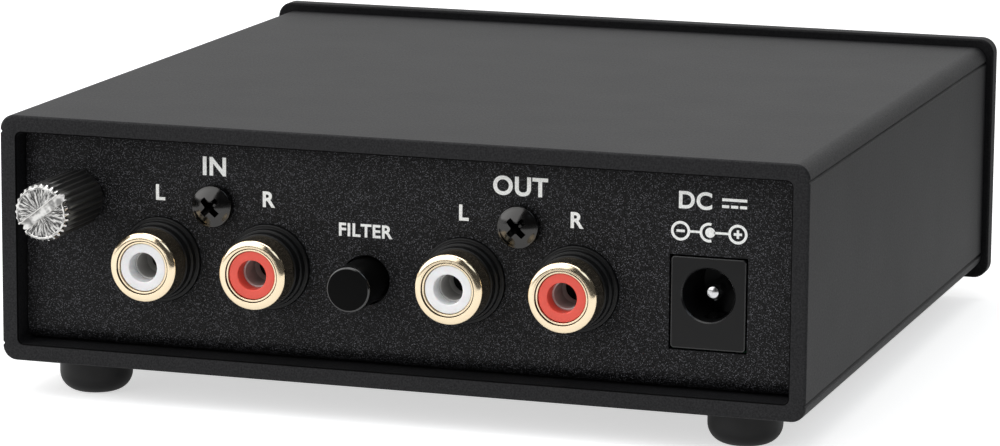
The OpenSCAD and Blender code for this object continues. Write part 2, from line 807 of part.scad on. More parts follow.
module ground_nut() {
  color([0.75, 0.75, 0.77]) at_panel(ground_x, ground_z) difference() {
    union() {
      rod(clinch_r, -sheet_t - cut, 0);
      rod(clinch_flange_r, -sheet_t - clinch_flange_t, -sheet_t);
    }
    rod(ground_thread_r + running_gap, -sheet_t - clinch_flange_t - cut, cut);
  }
}

module ground_washer() {
  color([0.78, 0.78, 0.8]) at_panel(ground_x, ground_z)
    tube(washer_r, ground_thread_r + 0.1, washer_back, washer_back + washer_t);
}

// Star outline of the knurled head
module knurl_outline() {
  step = 360 / knurl_count;
  polygon([
    for (k = [0 : knurl_count - 1])
      each [
        for (part = [[0, 0], [0.16, 0], [0.5, knurl_depth], [0.66, knurl_depth]])
          let (a = (k + part[0]) * step, r = ground_head_r - part[1])
            [r * cos(a), r * sin(a)]
      ]
  ]);
}

module ground_screw() {
  color([0.82, 0.82, 0.83]) at_panel(ground_x, ground_z) {
    difference() {
      intersection() {
        translate([0, 0, head_back]) linear_extrude(ground_head_len) knurl_outline();
        union() {
          rod(ground_head_r + 1, head_back, head_front - head_chamfer - 1);
          translate([0, 0, head_front - head_chamfer - 1 - cut])
            cylinder(r1 = ground_head_r + 1, r2 = ground_head_r - head_chamfer, h = head_chamfer + 1 + cut);
        }
      }
      rotate(slot_turn) translate([0, 0, head_front])
        cube([ground_head_d + 1, slot_w, 2 * slot_t], center = true);
    }
    rod(ground_thread_r, head_back - ground_shank_len, head_back + cut);
  }
}

// ---------- components on the board ----------

// Places on the board's grid: columns from its middle, rows from its front edge
module on_board(columns, rows) {
  translate([columns * column, board_front_y + rows * row, board_top]) children();
}

module can(size) {
  bead = 0.35;
  rod(size[0], 0, 1.2);
  rod(size[0] - bead, 1.2 - cut, 1.9);
  rod(size[0], 1.9 - cut, size[1]);
}

module electrolytic_capacitors() {
  color([0.1, 0.1, 0.16]) {
    for (c = [-19, -14, -9], r = [19, 25]) on_board(c, r) can(can_large);
    for (c = [-1, 7, 15], r = [8, 28]) on_board(c, r) can(can_small);
  }
}

module film_capacitors() {
  color([0.7, 0.16, 0.12])
    for (c = [1, 6, 11, 16], r = [13, 24]) on_board(c, r)
      span([-film_size[0] / 2, -film_size[1] / 2, 0], [film_size[0] / 2, film_size[1] / 2, film_size[2]]);
}

module chip() {
  w = chip_size[0];
  d = chip_size[1];
  span([-w / 2, -d / 2, chip_lift], [w / 2, d / 2, chip_lift + chip_size[2]]);
  for (k = [0 : 3], sy = [-1, 1])
    translate([(k - 1.5) * 2 * lead_pitch, sy * (d / 2 + 0.1), (chip_lift + 1.8) / 2])
      cube([0.5, 0.7, chip_lift + 1.8], center = true);
}

module op_amps() {
  color([0.08, 0.08, 0.09]) for (c = [-3, 4, 12]) on_board(c, 18) chip();
}

module transistors() {
  top = transistor_lift + transistor_h;
  color([0.09, 0.09, 0.1]) for (c = [4, 11], r = [4.5, 31]) on_board(c, r) difference() {
    union() {
      rod(transistor_r, transistor_lift, top);
      for (step = [-1, 0, 1]) translate([step * lead_pitch, 0.2, 0]) rod(wire_r, 0, transistor_lift + cut);
    }
    span([-transistor_r, -transistor_r - cut, transistor_lift - cut],
         [transistor_r, -0.65 * transistor_r, top + cut]);
  }
}

// Axial part lying along X on two bent leads
module axial(r, len, span_x) {
  translate([0, 0, r + 0.2]) rotate([0, 90, 0]) {
    rod(r, -len / 2, len / 2);
    rod(wire_r, -span_x / 2, span_x / 2);
  }
  for (sx = [-1, 1]) translate([sx * span_x / 2, 0, 0]) {
    rod(wire_r, 0, r + 0.2);
    translate([0, 0, r + 0.2]) sphere(wire_r, $fn = 24);
  }
}

module resistors() {
  color([0.72, 0.6, 0.42]) for (c = [-18, -12.5, -7], r = [4 : 2 : 14])
    on_board(c, r) axial(resistor_r, resistor_len, resistor_span);
}

module protection_diode() {
  color([0.12, 0.12, 0.12]) on_board(-14, 31) axial(diode_r, diode_len, diode_span);
}

module voltage_regulator() {
  half = regulator_w / 2;
  body_top = regulator_lift + regulator_body_h;
  tab_top = regulator_lift + regulator_h;
  color([0.2, 0.2, 0.21]) on_board(-8, 33) difference() {
    union() {
      span([-half, 0, regulator_lift], [half, regulator_body_t, body_top]);
      span([-half, 0, regulator_lift], [half, regulator_tab_t, tab_top]);
      for (step = [-1, 0, 1]) translate([step * 2 * lead_pitch, 2.4, 0])
        span([-0.4, -0.25, 0], [0.4, 0.25, regulator_lift + cut]);
    }
    translate([0, -cut, (body_top + tab_top) / 2 + 0.2]) rotate([-90, 0, 0])
      rod(regulator_hole_r, 0, regulator_tab_t + 2 * cut);
  }
}

// The indicator lies behind the plate, on two leads bent down to the board
module power_led() {
  r = led_d / 2;
  back = case_front_y + sheet_t + 0.1;
  lead_y = board_front_y + 2;
  color([0.6, 0.75, 0.95]) {
    translate([0, 0, led_z]) rotate([-90, 0, 0]) {
      rod(r, front_y + 0.3 + r, back + cut);
      translate([0, 0, front_y + 0.3 + r]) sphere(r);
      rod(r + 0.45, back, back + 1);
    }
    for (sx = [-1, 1]) {
      span([sx * 1.27 - 0.25, back + 1 - cut, led_z - 0.25], [sx * 1.27 + 0.25, lead_y + 0.25, led_z + 0.25]);
      span([sx * 1.27 - 0.25, lead_y - 0.25, board_top], [sx * 1.27 + 0.25, lead_y + 0.25, led_z]);
    }
  }
}

casing();
casing_screws();
casing_nuts();
foot_rear_left();
foot_rear_right();
foot_front_left();
foot_front_right();
front_panel();
front_panel_screws();
chassis();
board_standoffs();
board_screws();
circuit_board();
input_jack_block();
input_left_shell();
input_left_insulator();
input_left_contact();
input_right_shell();
input_right_insulator();
input_right_contact();
input_jack_screw();
output_jack_block();
output_left_shell();
output_left_insulator();
output_left_contact();
output_right_shell();
output_right_insulator();
output_right_contact();
output_jack_screw();
power_inlet_body();
power_inlet_pin();
power_inlet_spring();
filter_switch_body();
filter_switch_pins();
filter_switch_spring();
filter_switch_plunger();
filter_button();
ground_nut();
ground_washer();
ground_screw();
op_amps();
transistors();
film_capacitors();
electrolytic_capacitors();
resistors();
voltage_regulator();
protection_diode();
power_led();
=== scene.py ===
import json
import math

import bmesh
import bpy
from mathutils import Matrix, Vector


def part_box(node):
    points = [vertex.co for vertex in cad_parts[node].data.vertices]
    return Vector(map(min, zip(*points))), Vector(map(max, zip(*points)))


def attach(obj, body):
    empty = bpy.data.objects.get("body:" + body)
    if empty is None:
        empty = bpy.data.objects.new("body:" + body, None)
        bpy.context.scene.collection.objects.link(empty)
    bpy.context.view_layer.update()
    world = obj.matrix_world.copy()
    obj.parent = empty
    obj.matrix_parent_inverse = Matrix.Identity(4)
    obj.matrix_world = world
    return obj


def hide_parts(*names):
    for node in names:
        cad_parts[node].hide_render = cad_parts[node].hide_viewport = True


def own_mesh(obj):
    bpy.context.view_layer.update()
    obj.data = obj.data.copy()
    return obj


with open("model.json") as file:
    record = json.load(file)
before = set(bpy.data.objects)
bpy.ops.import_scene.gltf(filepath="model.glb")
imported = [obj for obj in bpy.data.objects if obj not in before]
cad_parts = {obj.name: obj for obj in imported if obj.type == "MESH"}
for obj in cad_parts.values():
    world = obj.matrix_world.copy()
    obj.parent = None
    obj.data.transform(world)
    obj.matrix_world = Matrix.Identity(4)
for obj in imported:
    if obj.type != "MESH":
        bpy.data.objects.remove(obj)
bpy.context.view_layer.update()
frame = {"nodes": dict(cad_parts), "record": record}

MM = 0.001
record = frame["record"]
mounts = {m["name"]: m for m in record["mounts"]}
smoothing_angle = math.radians(32)
ring_segments = 96
face_level = 0.99  # a polygon whose normal lies above this belongs to a flat face


# ---------- places, from the frame ----------

def rear_place(x, z):
    """Frame of a rear fitting: origin on the panel's outer face, +x right and +y up as seen from
    behind, +z out."""
    turn = Matrix(((-1, 0, 0), (0, 0, 1), (0, 1, 0))).to_4x4()
    return Matrix.Translation((x, panel_y, z)) @ turn


def middle(node):
    low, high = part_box(node)
    return (low + high) / 2


def size(node):
    low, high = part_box(node)
    return high - low


def mount_place(name):
    x, _, z = mounts[name]["pos_m"]
    return rear_place(x, z)


case_low, case_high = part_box("casing")
panel_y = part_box("chassis")[1].y
board_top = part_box("circuit_board")[1].z
sheet_t = 1.0 * MM

# the thumb screw's head, which its finish needs too
head_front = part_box("ground_screw")[1].y - panel_y
head_r = size("ground_screw").x / 2
knurl_t = 0.35 * MM
rim_w = 0.24 * MM
face_dish = 0.08 * MM


# ---------- mesh helpers ----------

def in_mm(corners):
    return [tuple(v * MM for v in corner) for corner in corners]


def polar(radius, angle):
    return radius * math.cos(angle), radius * math.sin(angle)


def full_turn(count):
    return [2 * math.pi * k / count for k in range(count)]


def quarter_turn(steps):
    return [math.pi / 2 * k / steps for k in range(steps + 1)]


def rounded_edge(radius, steps, backwards=False):
    """How far in and how far along each step of a rounded edge lies, from the end's face on."""
    angles = quarter_turn(steps)
    if backwards:
        angles.reverse()
    return [(radius * (1 - math.sin(a)), radius * (1 - math.cos(a))) for a in angles]


def rounded_path(corners, closed=False, step=15):
    """Points of a path through (across, along, fillet radius), with each corner turned into an arc
    whose steps are at most step degrees."""
    points = []
    count = len(corners)
    for i, (a, b, radius) in enumerate(corners):
        here = Vector((a, b))
        at_end = not closed and i in (0, count - 1)
        if radius <= 0 or at_end:
            points.append(here)
            continue
        to_last = (Vector(corners[i - 1][:2]) - here).normalized()
        to_next = (Vector(corners[(i + 1) % count][:2]) - here).normalized()
        opening = to_last.angle(to_next)
        reach = radius / math.tan(opening / 2)
        centre = here + (to_last + to_next).normalized() * (radius / math.sin(opening / 2))
        first, last = here + to_last * reach - centre, here + to_next * reach - centre
        turn = first.angle_signed(last)
        steps = max(2, math.ceil(abs(math.degrees(turn)) / step))
        for k in range(steps + 1):
            angle = -turn * k / steps
            c, s = math.cos(angle), math.sin(angle)
            points.append(centre + Vector((c * first.x - s * first.y, s * first.x + c * first.y)))
    return points


def bridge(bm, rings, close_ends=False):
    """Joins a row of vertex rings with faces. A ring of one vertex is a pole."""
    pairs = list(zip(rings, rings[1:]))
    if close_ends:
        pairs.append((rings[-1], rings[0]))
    for one, two in pairs:
        count = max(len(one), len(two))
        if count == 1:
            continue
        for k in range(count):
            n = (k + 1) % count
            corners = [one[k % len(one)], one[n % len(one)], two[n % len(two)], two[k % len(two)]]
            unique = list(dict.fromkeys(corners))
            if len(unique) > 2:
                bm.faces.new(unique)


def lathe(bm, profile, closed=False, segments=ring_segments, place=Matrix()):
    """Turns a profile of (radius, height) about the local z axis."""
    rings = []
    for radius, height in profile:
        if radius < 1e-7:
            rings.append([bm.verts.new(place @ Vector((0, 0, height)))])
            continue
        rings.append([bm.verts.new(place @ Vector((*polar(radius, a), height)))
                      for a in full_turn(segments)])
    bridge(bm, rings, close_ends=closed)


def block(bm, low, high, place=Matrix()):
    """A block from its lowest to its highest corner."""
    low, high = Vector(low), Vector(high)
    shape = Matrix.Translation((low + high) / 2) @ Matrix.Diagonal((*(high - low), 1))
    bmesh.ops.create_cube(bm, size=1, matrix=place @ shape)


def cap(bm, rings):
    """Closes the first and the last of a row of rings."""
    bm.faces.new(rings[0])
    bm.faces.new(rings[-1])


def loft(bm, outlines, place=Matrix()):
    """Skins a row of (outline, height), where the outlines have equal numbers of points."""
    rings = []
    for outline, height in outlines:
        rings.append([bm.verts.new(place @ Vector((x, y, height))) for x, y in outline])
    bridge(bm, rings)
    cap(bm, rings)


def rectangle(x0, y0, x1, y1):
    return [(x0, y0), (x1, y0), (x1, y1), (x0, y1)]


def box_outline(w, h, radius, step=15):
    """Outline of a rectangle with round corners, about its own middle."""
    x, y = w / 2, h / 2
    corners = [(x, -y, radius), (x, y, radius), (-x, y, radius), (-x, -y, radius)]
    return [tuple(p) for p in rounded_path(corners, closed=True, step=step)]


def raw_object(name, bm, place=Matrix()):
    bmesh.ops.remove_doubles(bm, verts=bm.verts, dist=1e-8)
    bmesh.ops.recalc_face_normals(bm, faces=bm.faces)
    mesh = bpy.data.meshes.new(name)
    bm.to_mesh(mesh)
    bm.free()
    obj = bpy.data.objects.new(name, mesh)
    bpy.context.scene.collection.objects.link(obj)
    obj.matrix_world = place
    return obj


def evaluated_mesh(obj):
    """A mesh of an object as its modifiers or its curve shape it."""
    bpy.context.view_layer.update()
    evaluated = obj.evaluated_get(bpy.context.evaluated_depsgraph_get())
    return bpy.data.meshes.new_from_object(evaluated)


def settle(obj):
    """Applies an object's modifiers."""
    mesh = evaluated_mesh(obj)
    obj.modifiers.clear()
    old = obj.data
    obj.data = mesh
    bpy.data.meshes.remove(old)


def cut(obj, *cutters):
    """Cuts each cutter's shape out of the object."""
    for cutter in cutters:
        modifier = obj.modifiers.new("cut", "BOOLEAN")
        modifier.operation = "DIFFERENCE"
        modifier.solver = "EXACT"
        modifier.object = cutter
        settle(obj)
        bpy.data.objects.remove(cutter)


def join(obj, other):
    """Adds another mesh to an object's own."""
    bm = bmesh.new()
    bm.from_mesh(obj.data)
    extra = other.data.copy()
    extra.transform(obj.matrix_world.inverted() @ other.matrix_world)
    bm.from_mesh(extra)
    bm.to_mesh(obj.data)
    bm.free()
    bpy.data.objects.remove(other)


def bevel(obj, width, segments=3, angle=40):
    """Rounds the edges that are sharper than an angle in degrees."""
    modifier = obj.modifiers.new("edges", "BEVEL")
    modifier.width = width
    modifier.segments = segments
    modifier.limit_method = "ANGLE"
    modifier.angle_limit = math.radians(angle)
    modifier.harden_normals = False
    settle(obj)


def piece(obj, slot, body="preamp", replaces=(), accent=None, is_accent=None):
    """Finishes a piece: smooth faces, sharp creases, its finish, the body it rides on and what it
    stands for. The polygons for which is_accent is true take a second finish, accent."""
    for polygon in obj.data.polygons:
        polygon.use_smooth = True
    obj.data.set_sharp_from_angle(angle=smoothing_angle)
    weighted = obj.modifiers.new("even_faces", "WEIGHTED_NORMAL")
    weighted.keep_sharp = True
    obj.data.materials.clear()
    obj.data.materials.append(finishes[slot])
    if accent:
        obj.data.materials.append(finishes[accent])
    for polygon in obj.data.polygons:
        polygon.material_index = int(accent is not None and is_accent(polygon))
    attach(obj, body)
    if replaces:
        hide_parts(*replaces)


# ---------- finishes ----------

class Tree:
    """A small helper that adds nodes to a node tree and links them."""

    def __init__(self, tree):
        self.tree = tree

    def feed(self, socket, value):
        """Links a value that comes from another node, or writes a constant."""
        if isinstance(value, bpy.types.NodeSocket):
            self.tree.links.new(value, socket)
        else:
            socket.default_value = value

    def feed_all(self, node, inputs):
        for name, value in inputs.items():
            self.feed(node.inputs[name.replace("_", " ")], value)

    def add(self, kind, **inputs):
        node = self.tree.nodes.new(kind)
        self.feed_all(node, inputs)
        return node

    def operate(self, kind, operation, *values):
        """A math node's outputs, with its inputs in their order."""
        node = self.tree.nodes.new(kind)
        node.operation = operation
        for socket, value in zip(node.inputs, values):
            self.feed(socket, value)
        return node.outputs

    def math(self, operation, *values):
        return self.operate("ShaderNodeMath", operation, *values)[0]

    def vector(self, operation, *values, output="Vector"):
        return self.operate("ShaderNodeVectorMath", operation, *values)[output]

    def spread(self, value, low, high, start=0.0, end=1.0):
        """Maps a value from start..end to low..high."""
        return self.add("ShaderNodeMapRange", Value=value, To_Min=low, To_Max=high, From_Min=start,
                        From_Max=end).outputs["Result"]


class Nodes(Tree):
    """The nodes of a new material."""

    def __init__(self, name="finish"):
        self.material = bpy.data.materials.new(name)
        self.material.use_nodes = True
        super().__init__(self.material.node_tree)
        self.shader = self.tree.nodes["Principled BSDF"]
        self.place = self.add("ShaderNodeTexCoord").outputs["Object"]

    def set(self, **inputs):
        self.feed_all(self.shader, inputs)

    def noise(self, grain, detail=2, roughness=0.5):
        """Noise whose features are about as wide as grain."""
        return self.add("ShaderNodeTexNoise", Vector=self.place, Scale=1 / grain, Detail=detail,
                        Roughness=roughness).outputs["Fac"]

    def mix(self, factor, one, two):
        """One colour or the other, by a factor."""
        node = self.tree.nodes.new("ShaderNodeMix")
        node.data_type = "RGBA"
        for index, value in ((0, factor), (6, one), (7, two)):
            self.feed(node.inputs[index], value)
        return node.outputs[2]

    def tint(self, factor, dark, light):
        """A colour between two plain ones, by a factor."""
        return self.mix(factor, (*dark, 1), (*light, 1))

    def bump(self, height, strength, distance, under=None):
        node = self.add("ShaderNodeBump", Height=height, Strength=strength, Distance=distance)
        if under is not None:
            self.feed(node.inputs["Normal"], under)
        return node.outputs["Normal"]


def scaled(colour, factor):
    return tuple(c * factor for c in colour)


def powder_coat(colour, grain, depth, roughness, specular, flecks=1.3):
    """Powder coat: orange peel in two sizes, gloss that varies from grain to grain and, where
    flecks is high, grains of lighter pigment."""
    n = Nodes()
    fine = n.noise(grain, detail=1)
    coarse = n.noise(grain * 2.7, detail=1)
    cloudy = n.noise(9 * MM)
    # grains of pigment: a soft dot in each cell, stronger in some cells than in others
    cells = n.add("ShaderNodeTexVoronoi", Vector=n.place, Scale=1 / grain)
    dots = n.spread(cells.outputs["Distance"], 1, 0, 0.1, 0.55)
    lot = n.add("ShaderNodeSeparateColor", Color=cells.outputs["Color"]).outputs["Red"]
    chance = n.spread(lot, 0, 1, 0.4, 1)
    tone = n.tint(n.math("MULTIPLY", dots, chance), scaled(colour, 0.8), scaled(colour, flecks))
    n.set(Base_Color=tone, Normal=n.bump(fine, 1.0, depth, n.bump(coarse, 1.0, depth)))
    n.set(Specular_IOR_Level=n.spread(fine, specular * 0.65, specular * 1.35, 0.3, 0.7))
    n.set(Roughness=n.spread(cloudy, roughness - 0.015, roughness + 0.025))
    return n.material


def moulded(colour, roughness, grain=0.12 * MM, depth=0.006 * MM, specular=0.5, softness=0.0):
    """Moulded plastic or rubber with a faint grain and uneven gloss."""
    n = Nodes()
    patches = n.noise(1.6 * MM, detail=3)
    n.set(Base_Color=n.tint(patches, scaled(colour, 0.88), scaled(colour, 1.1)))
    n.set(Roughness=n.spread(patches, roughness - 0.05, roughness + 0.06))
    n.set(Specular_IOR_Level=specular, Normal=n.bump(n.noise(grain), 0.6, depth))
    if softness:
        n.set(Subsurface_Weight=softness, Subsurface_Scale=0.6 * MM)
    return n.material


def plated(colour, roughness, grain=0.5 * MM, depth=0.002 * MM, wear=0.06, metal=1.0):
    """Plated metal with faint handling marks."""
    n = Nodes()
    marks = n.noise(grain, detail=4, roughness=0.65)
    n.set(Metallic=metal, Base_Color=n.tint(marks, scaled(colour, 0.93), scaled(colour, 1.03)))
    n.set(Roughness=n.spread(marks, roughness - wear / 2, roughness + wear, 0.3, 0.75))
    n.set(Normal=n.bump(marks, 0.35, depth))
    return n.material


def turned_metal(colour, roughness, face_height, face_r):
    """Bright turned metal. Past face_height on the piece's own axis and inside face_r, its face has
    fine radial marks. Flat faces behind it, such as the floor of a slot, are stained. Its sides
    grow rougher towards the back and carry painted shade: their colour darkens towards the back,
    and painted highlights run back from the face as bright streaks of uneven lengths."""
    n = Nodes()
    flat = n.vector("MULTIPLY", n.place, (1, 1, 0))
    radius = n.vector("LENGTH", flat, output="Value")
    outward = n.vector("NORMALIZE", flat)
    height = n.add("ShaderNodeSeparateXYZ", Vector=n.place).outputs["Z"]
    normal = n.add("ShaderNodeTexCoord").outputs["Normal"]
    level = n.add("ShaderNodeSeparateXYZ", Vector=normal).outputs["Z"]

    # noise that varies with the angle, and only slowly with the radius
    rise = n.add("ShaderNodeCombineXYZ", Z=n.spread(radius, 0, 0.25, 0, 3 * MM)).outputs[0]
    rays = n.add("ShaderNodeTexNoise", Vector=n.vector("ADD", outward, rise), Scale=10.0,
                 Detail=2.0, Roughness=0.8).outputs["Fac"]
    streaks = n.spread(rays, 0, 1, 0.43, 0.6)
    marks = n.noise(0.4 * MM, detail=4, roughness=0.7)
    stains = n.spread(n.noise(1.3 * MM, roughness=0.6), 0, 1, 0.42, 0.58)

    # where the face, other flat faces and the painted-lit front of the sides are, from 0 to 1;
    # behind that front the sides take painted shade
    past_face = n.spread(height, 0, 1, face_height - 0.01 * MM, face_height)
    on_face = n.math("MULTIPLY", past_face, n.spread(radius, 1, 0, face_r - 0.02 * MM, face_r))
    on_flat = n.spread(level, 0, 1, 0.9, 0.95)
    # painted highlight: the lit front of the sides reaches back along the rays by uneven lengths
    painted_highlight_reach = n.math("ADD", height, n.spread(rays, -0.5 * MM, 1.6 * MM, 0.42, 0.6))
    forward = n.spread(painted_highlight_reach, 0, 1, face_height - 2.2 * MM, face_height - 0.5 * MM)

    plain = n.tint(marks, scaled(colour, 0.9), scaled(colour, 1.06))
    # painted shade: towards the back, the sides' colour falls to a fifth to a third of the metal's
    painted_shade_side = n.tint(marks, scaled(colour, 0.2), scaled(colour, 0.3))
    stained = n.tint(stains, scaled(colour, 0.3), scaled(colour, 0.92))
    rayed = n.tint(streaks, scaled(colour, 0.07), scaled(colour, 0.8))
    tone = n.mix(on_face, n.mix(on_flat, n.mix(forward, painted_shade_side, plain), stained), rayed)
    dullness = n.spread(height, 0.2, 0, face_height - 1.6 * MM, face_height - 0.3 * MM)
    gloss = n.math("ADD", n.spread(marks, roughness - 0.05, roughness + 0.05), dullness)
    n.set(Metallic=1.0, Base_Color=tone, Roughness=gloss)
    n.set(Normal=n.bump(n.math("MULTIPLY", streaks, on_face), 0.5, 0.02 * MM,
                        n.bump(marks, 0.2, 0.002 * MM)))
    return n.material


def printed_ink(colour):
    """Screen-printed ink with slightly uneven cover."""
    n = Nodes()
    cover = n.noise(0.11 * MM, detail=3, roughness=0.7)
    n.set(Base_Color=n.tint(n.spread(cover, 0, 1, 0.38, 0.52), scaled(colour, 0.72), colour))
    n.set(Roughness=0.5, Normal=n.bump(cover, 0.6, 0.01 * MM))
    return n.material


def lacquered():
    """Patchy tan lacquer of a resistor."""
    n = Nodes()
    patches = n.noise(0.8 * MM)
    n.set(Base_Color=n.tint(patches, (0.42, 0.27, 0.13), (0.62, 0.46, 0.26)), Roughness=0.32)
    n.set(Normal=n.bump(patches, 0.3, 0.02 * MM))
    return n.material


def circuit_green():
    """Solder mask with a faint weave of tracks under it."""
    n = Nodes()
    tracks = n.add("ShaderNodeTexBrick", Vector=n.place, Scale=160.0,
                   Mortar_Size=0.06).outputs["Fac"]
    n.set(Base_Color=n.tint(tracks, (0.012, 0.12, 0.05), (0.03, 0.2, 0.09)), Roughness=0.3)
    n.set(Normal=n.bump(tracks, 0.4, 0.03 * MM))
    return n.material


def clear_lens(colour):
    """Tinted clear lens, milky inside."""
    n = Nodes()
    haze = n.noise(0.5 * MM)
    n.set(Base_Color=n.tint(haze, scaled(colour, 0.9), colour), Transmission_Weight=0.75)
    n.set(Roughness=0.12, IOR=1.5, Normal=n.bump(haze, 0.1, 0.01 * MM))
    return n.material


finishes = {
    "case_coat": powder_coat((0.0105, 0.0105, 0.0118), 0.22 * MM, 0.02 * MM, 0.55, 0.255),
    # painted shadow: a near-black finish for the casing's rounded inner rear edge, where the panel
    # meets the frame
    "edge_shadow": moulded((0.0012, 0.0012, 0.0013), 0.6, specular=0.05),
    "plate_coat": powder_coat((0.006, 0.006, 0.0068), 0.22 * MM, 0.02 * MM, 0.55, 0.12),
    "panel_coat": powder_coat((0.004, 0.004, 0.0044), 0.145 * MM, 0.06 * MM, 0.5, 0.18, flecks=44),
    "foot_rubber": moulded((0.007, 0.007, 0.0074), 0.46, specular=0.3),
    "black_moulding": moulded((0.005, 0.005, 0.0052), 0.34, specular=0.25),
    "moulding_edge": moulded((0.005, 0.005, 0.0054), 0.26, specular=0.6),
    "button_black": moulded((0.002, 0.002, 0.002), 0.3, depth=0.001 * MM, specular=0.06),
    "button_rim": moulded((0.002, 0.002, 0.002), 0.14, depth=0.001 * MM, specular=0.9),
    "gold_plate": plated((0.98, 0.82, 0.58), 0.13),
    # painted shade: a dark brown gold for the walls of the shell's fine groove
    "groove_gold": plated((0.1, 0.055, 0.02), 0.5),
    # painted light: a pale, nearly diffuse finish that lightens the deep inside of the contact bore
    "contact_bore": plated((0.93, 0.92, 0.9), 0.5, metal=0.1),
    "contact_plate": plated((0.56, 0.55, 0.53), 0.35, metal=0.2),
    "insulator_white": moulded((0.87, 0.865, 0.87), 0.38, softness=0.1),
    "insulator_red": moulded((0.77, 0.092, 0.062), 0.38, softness=0.05),
    "dark_nickel": plated((0.062, 0.061, 0.06), 0.14, wear=0.08),
    "bright_nickel": turned_metal((0.86, 0.85, 0.83), 0.2, head_front - face_dish - 0.005 * MM,
                                  head_r - knurl_t - rim_w),
    "zinc_steel": plated((0.6, 0.6, 0.62), 0.35),
    "tin_plate": plated((0.72, 0.72, 0.73), 0.18),
    "board_green": circuit_green(),
    "chip_black": moulded((0.012, 0.012, 0.013), 0.5),
    "can_sleeve": moulded((0.01, 0.01, 0.03), 0.25),
    "film_red": moulded((0.42, 0.03, 0.02), 0.2, grain=0.9 * MM, depth=0.05 * MM),
    "resistor_tan": lacquered(),
    "switch_white": moulded((0.66, 0.64, 0.58), 0.4, softness=0.1),
    "led_lens": clear_lens((0.75, 0.86, 0.97)),
    "label_ink": printed_ink((0.92, 0.92, 0.9)),
}
for name, material in finishes.items():
    material.name = name

slot_of = {part["node"]: part["material_slot"] for part in record["subparts"]}
for node, obj in frame["nodes"].items():
    obj.data.materials.clear()
    obj.data.materials.append(finishes[slot_of[node]])


# ---------- casing ----------

groove_w = 0.5 * MM
groove_t = 0.3 * MM
groove_inset = 2.05 * MM
groove_least = 0.02 * MM
corner_steps = 8
edge_steps = 4
case_wall = 2.1 * MM
case_outer_r = 1.8 * MM
case_inner_r = 0.7 * MM
case_edge_r = 0.3 * MM
case_shadow_w = 0.52 * case_edge_r
case_screw_inset = 2.9 * MM


def casing_loop(inset, radius, groove):
    """One loop of the casing's section, about its middle: a rectangle with round corners and,
    beside each corner, three points of a V-groove, which lie flat on the inside. All loops have
    equal numbers of points, so that they can be skinned together."""
    half_w = size("casing").x / 2 - inset
    half_h = size("casing").z / 2 - inset
    if inset < case_wall / 2:
        groove_z = size("casing").z / 2 - groove_inset
        run = [(half_w, groove_z - groove_w / 2), (half_w - groove, groove_z),
               (half_w, groove_z + groove_w / 2)]
    else:
        run = [(half_w, half_h - case_inner_r - rest) for rest in (0.9 * MM, 0.65 * MM, 0.4 * MM)]
    for x, z in (polar(radius, a) for a in quarter_turn(corner_steps)):
        run.append((half_w - radius + x, half_h - radius + z))
    points = []
    for sx, sz in ((1, -1), (1, 1), (-1, 1), (-1, -1)):
        corner = [(sx * x, sz * z) for x, z in run]
        points += corner if sx * sz > 0 else corner[::-1]
    return points


def make_casing():
    bm = bmesh.new()
    centre_z = middle("casing").z
    rings = []

    def ring(inset, radius, groove, y):
        loop = casing_loop(inset, radius, groove)
        rings.append([bm.verts.new((x, y, z + centre_z)) for x, z in loop])

    for end, direction in ((case_low.y, 1), (case_high.y, -1)):
        for inwards, along in rounded_edge(case_edge_r, edge_steps, backwards=direction < 0):
            groove = max(groove_t - inwards, groove_least)
            ring(inwards, case_outer_r - inwards, groove, end + direction * along)
    for end, direction in ((case_high.y, -1), (case_low.y, 1)):
        for inwards, along in rounded_edge(0.5 * case_edge_r, edge_steps, backwards=direction > 0):
            ring(case_wall - inwards, case_inner_r + inwards, 0, end + direction * along)
    bridge(bm, rings, close_ends=True)
    obj = raw_object("casing_shell", bm)
    holes = bmesh.new()
    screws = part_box("casing_screws")
    countersink = in_mm([(0, -1), (2.95, -1), (2.95, 0.08), (1.65, 1.75), (1.65, 4), (0, 4)])
    for x in (screws[0].x + case_screw_inset, screws[1].x - case_screw_inset):
        for y in (screws[0].y + case_screw_inset, screws[1].y - case_screw_inset):
            lathe(holes, countersink, segments=48, place=Matrix.Translation((x, y, case_low.z)))
    cut(obj, raw_object("screw_holes", holes))
    inner_x = size("casing").x / 2 - case_wall + case_shadow_w
    inner_z = size("casing").z / 2 - case_wall + case_shadow_w

    # the inner rear edge takes the near-black painted-shadow finish
    def on_inner_edge(polygon):
        x, y, z = polygon.center
        within = abs(x) < inner_x and abs(z - centre_z) < inner_z
        return within and y > case_high.y - case_shadow_w

    piece(obj, "case_coat", replaces=["casing"], accent="edge_shadow", is_accent=on_inner_edge)


def make_front_plate():
    w, d, h = size("front_panel")
    corner_r, edge_r = 2 * MM, 0.35 * MM
    outlines = []
    for end, direction in ((-d / 2, 1), (d / 2, -1)):
        for inwards, along in rounded_edge(edge_r, edge_steps, backwards=direction < 0):
            outline = box_outline(w - 2 * inwards, h - 2 * inwards, corner_r - inwards, step=10)
            outlines.append((outline, end + direction * along))
    bm = bmesh.new()
    stand = Matrix.Translation(middle("front_panel")) @ Matrix.Rotation(math.radians(90), 4, "X")
    loft(bm, outlines, place=stand)
    obj = raw_object("front_plate", bm)
    hole = bmesh.new()
    hole_r, rim, past = 1.55 * MM, 0.2 * MM, 1 * MM
    light = Matrix.Translation((middle("power_led").x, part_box("front_panel")[0].y,
                                middle("front_panel").z))
    profile = [(0, -past), (hole_r + rim + past, -past), (hole_r, rim), (hole_r, d + past),
               (0, d + past)]
    lathe(hole, profile, segments=64, place=light @ Matrix.Rotation(math.radians(-90), 4, "X"))
    cut(obj, raw_object("light_hole", hole))
    piece(obj, "plate_coat", replaces=["front_panel"])


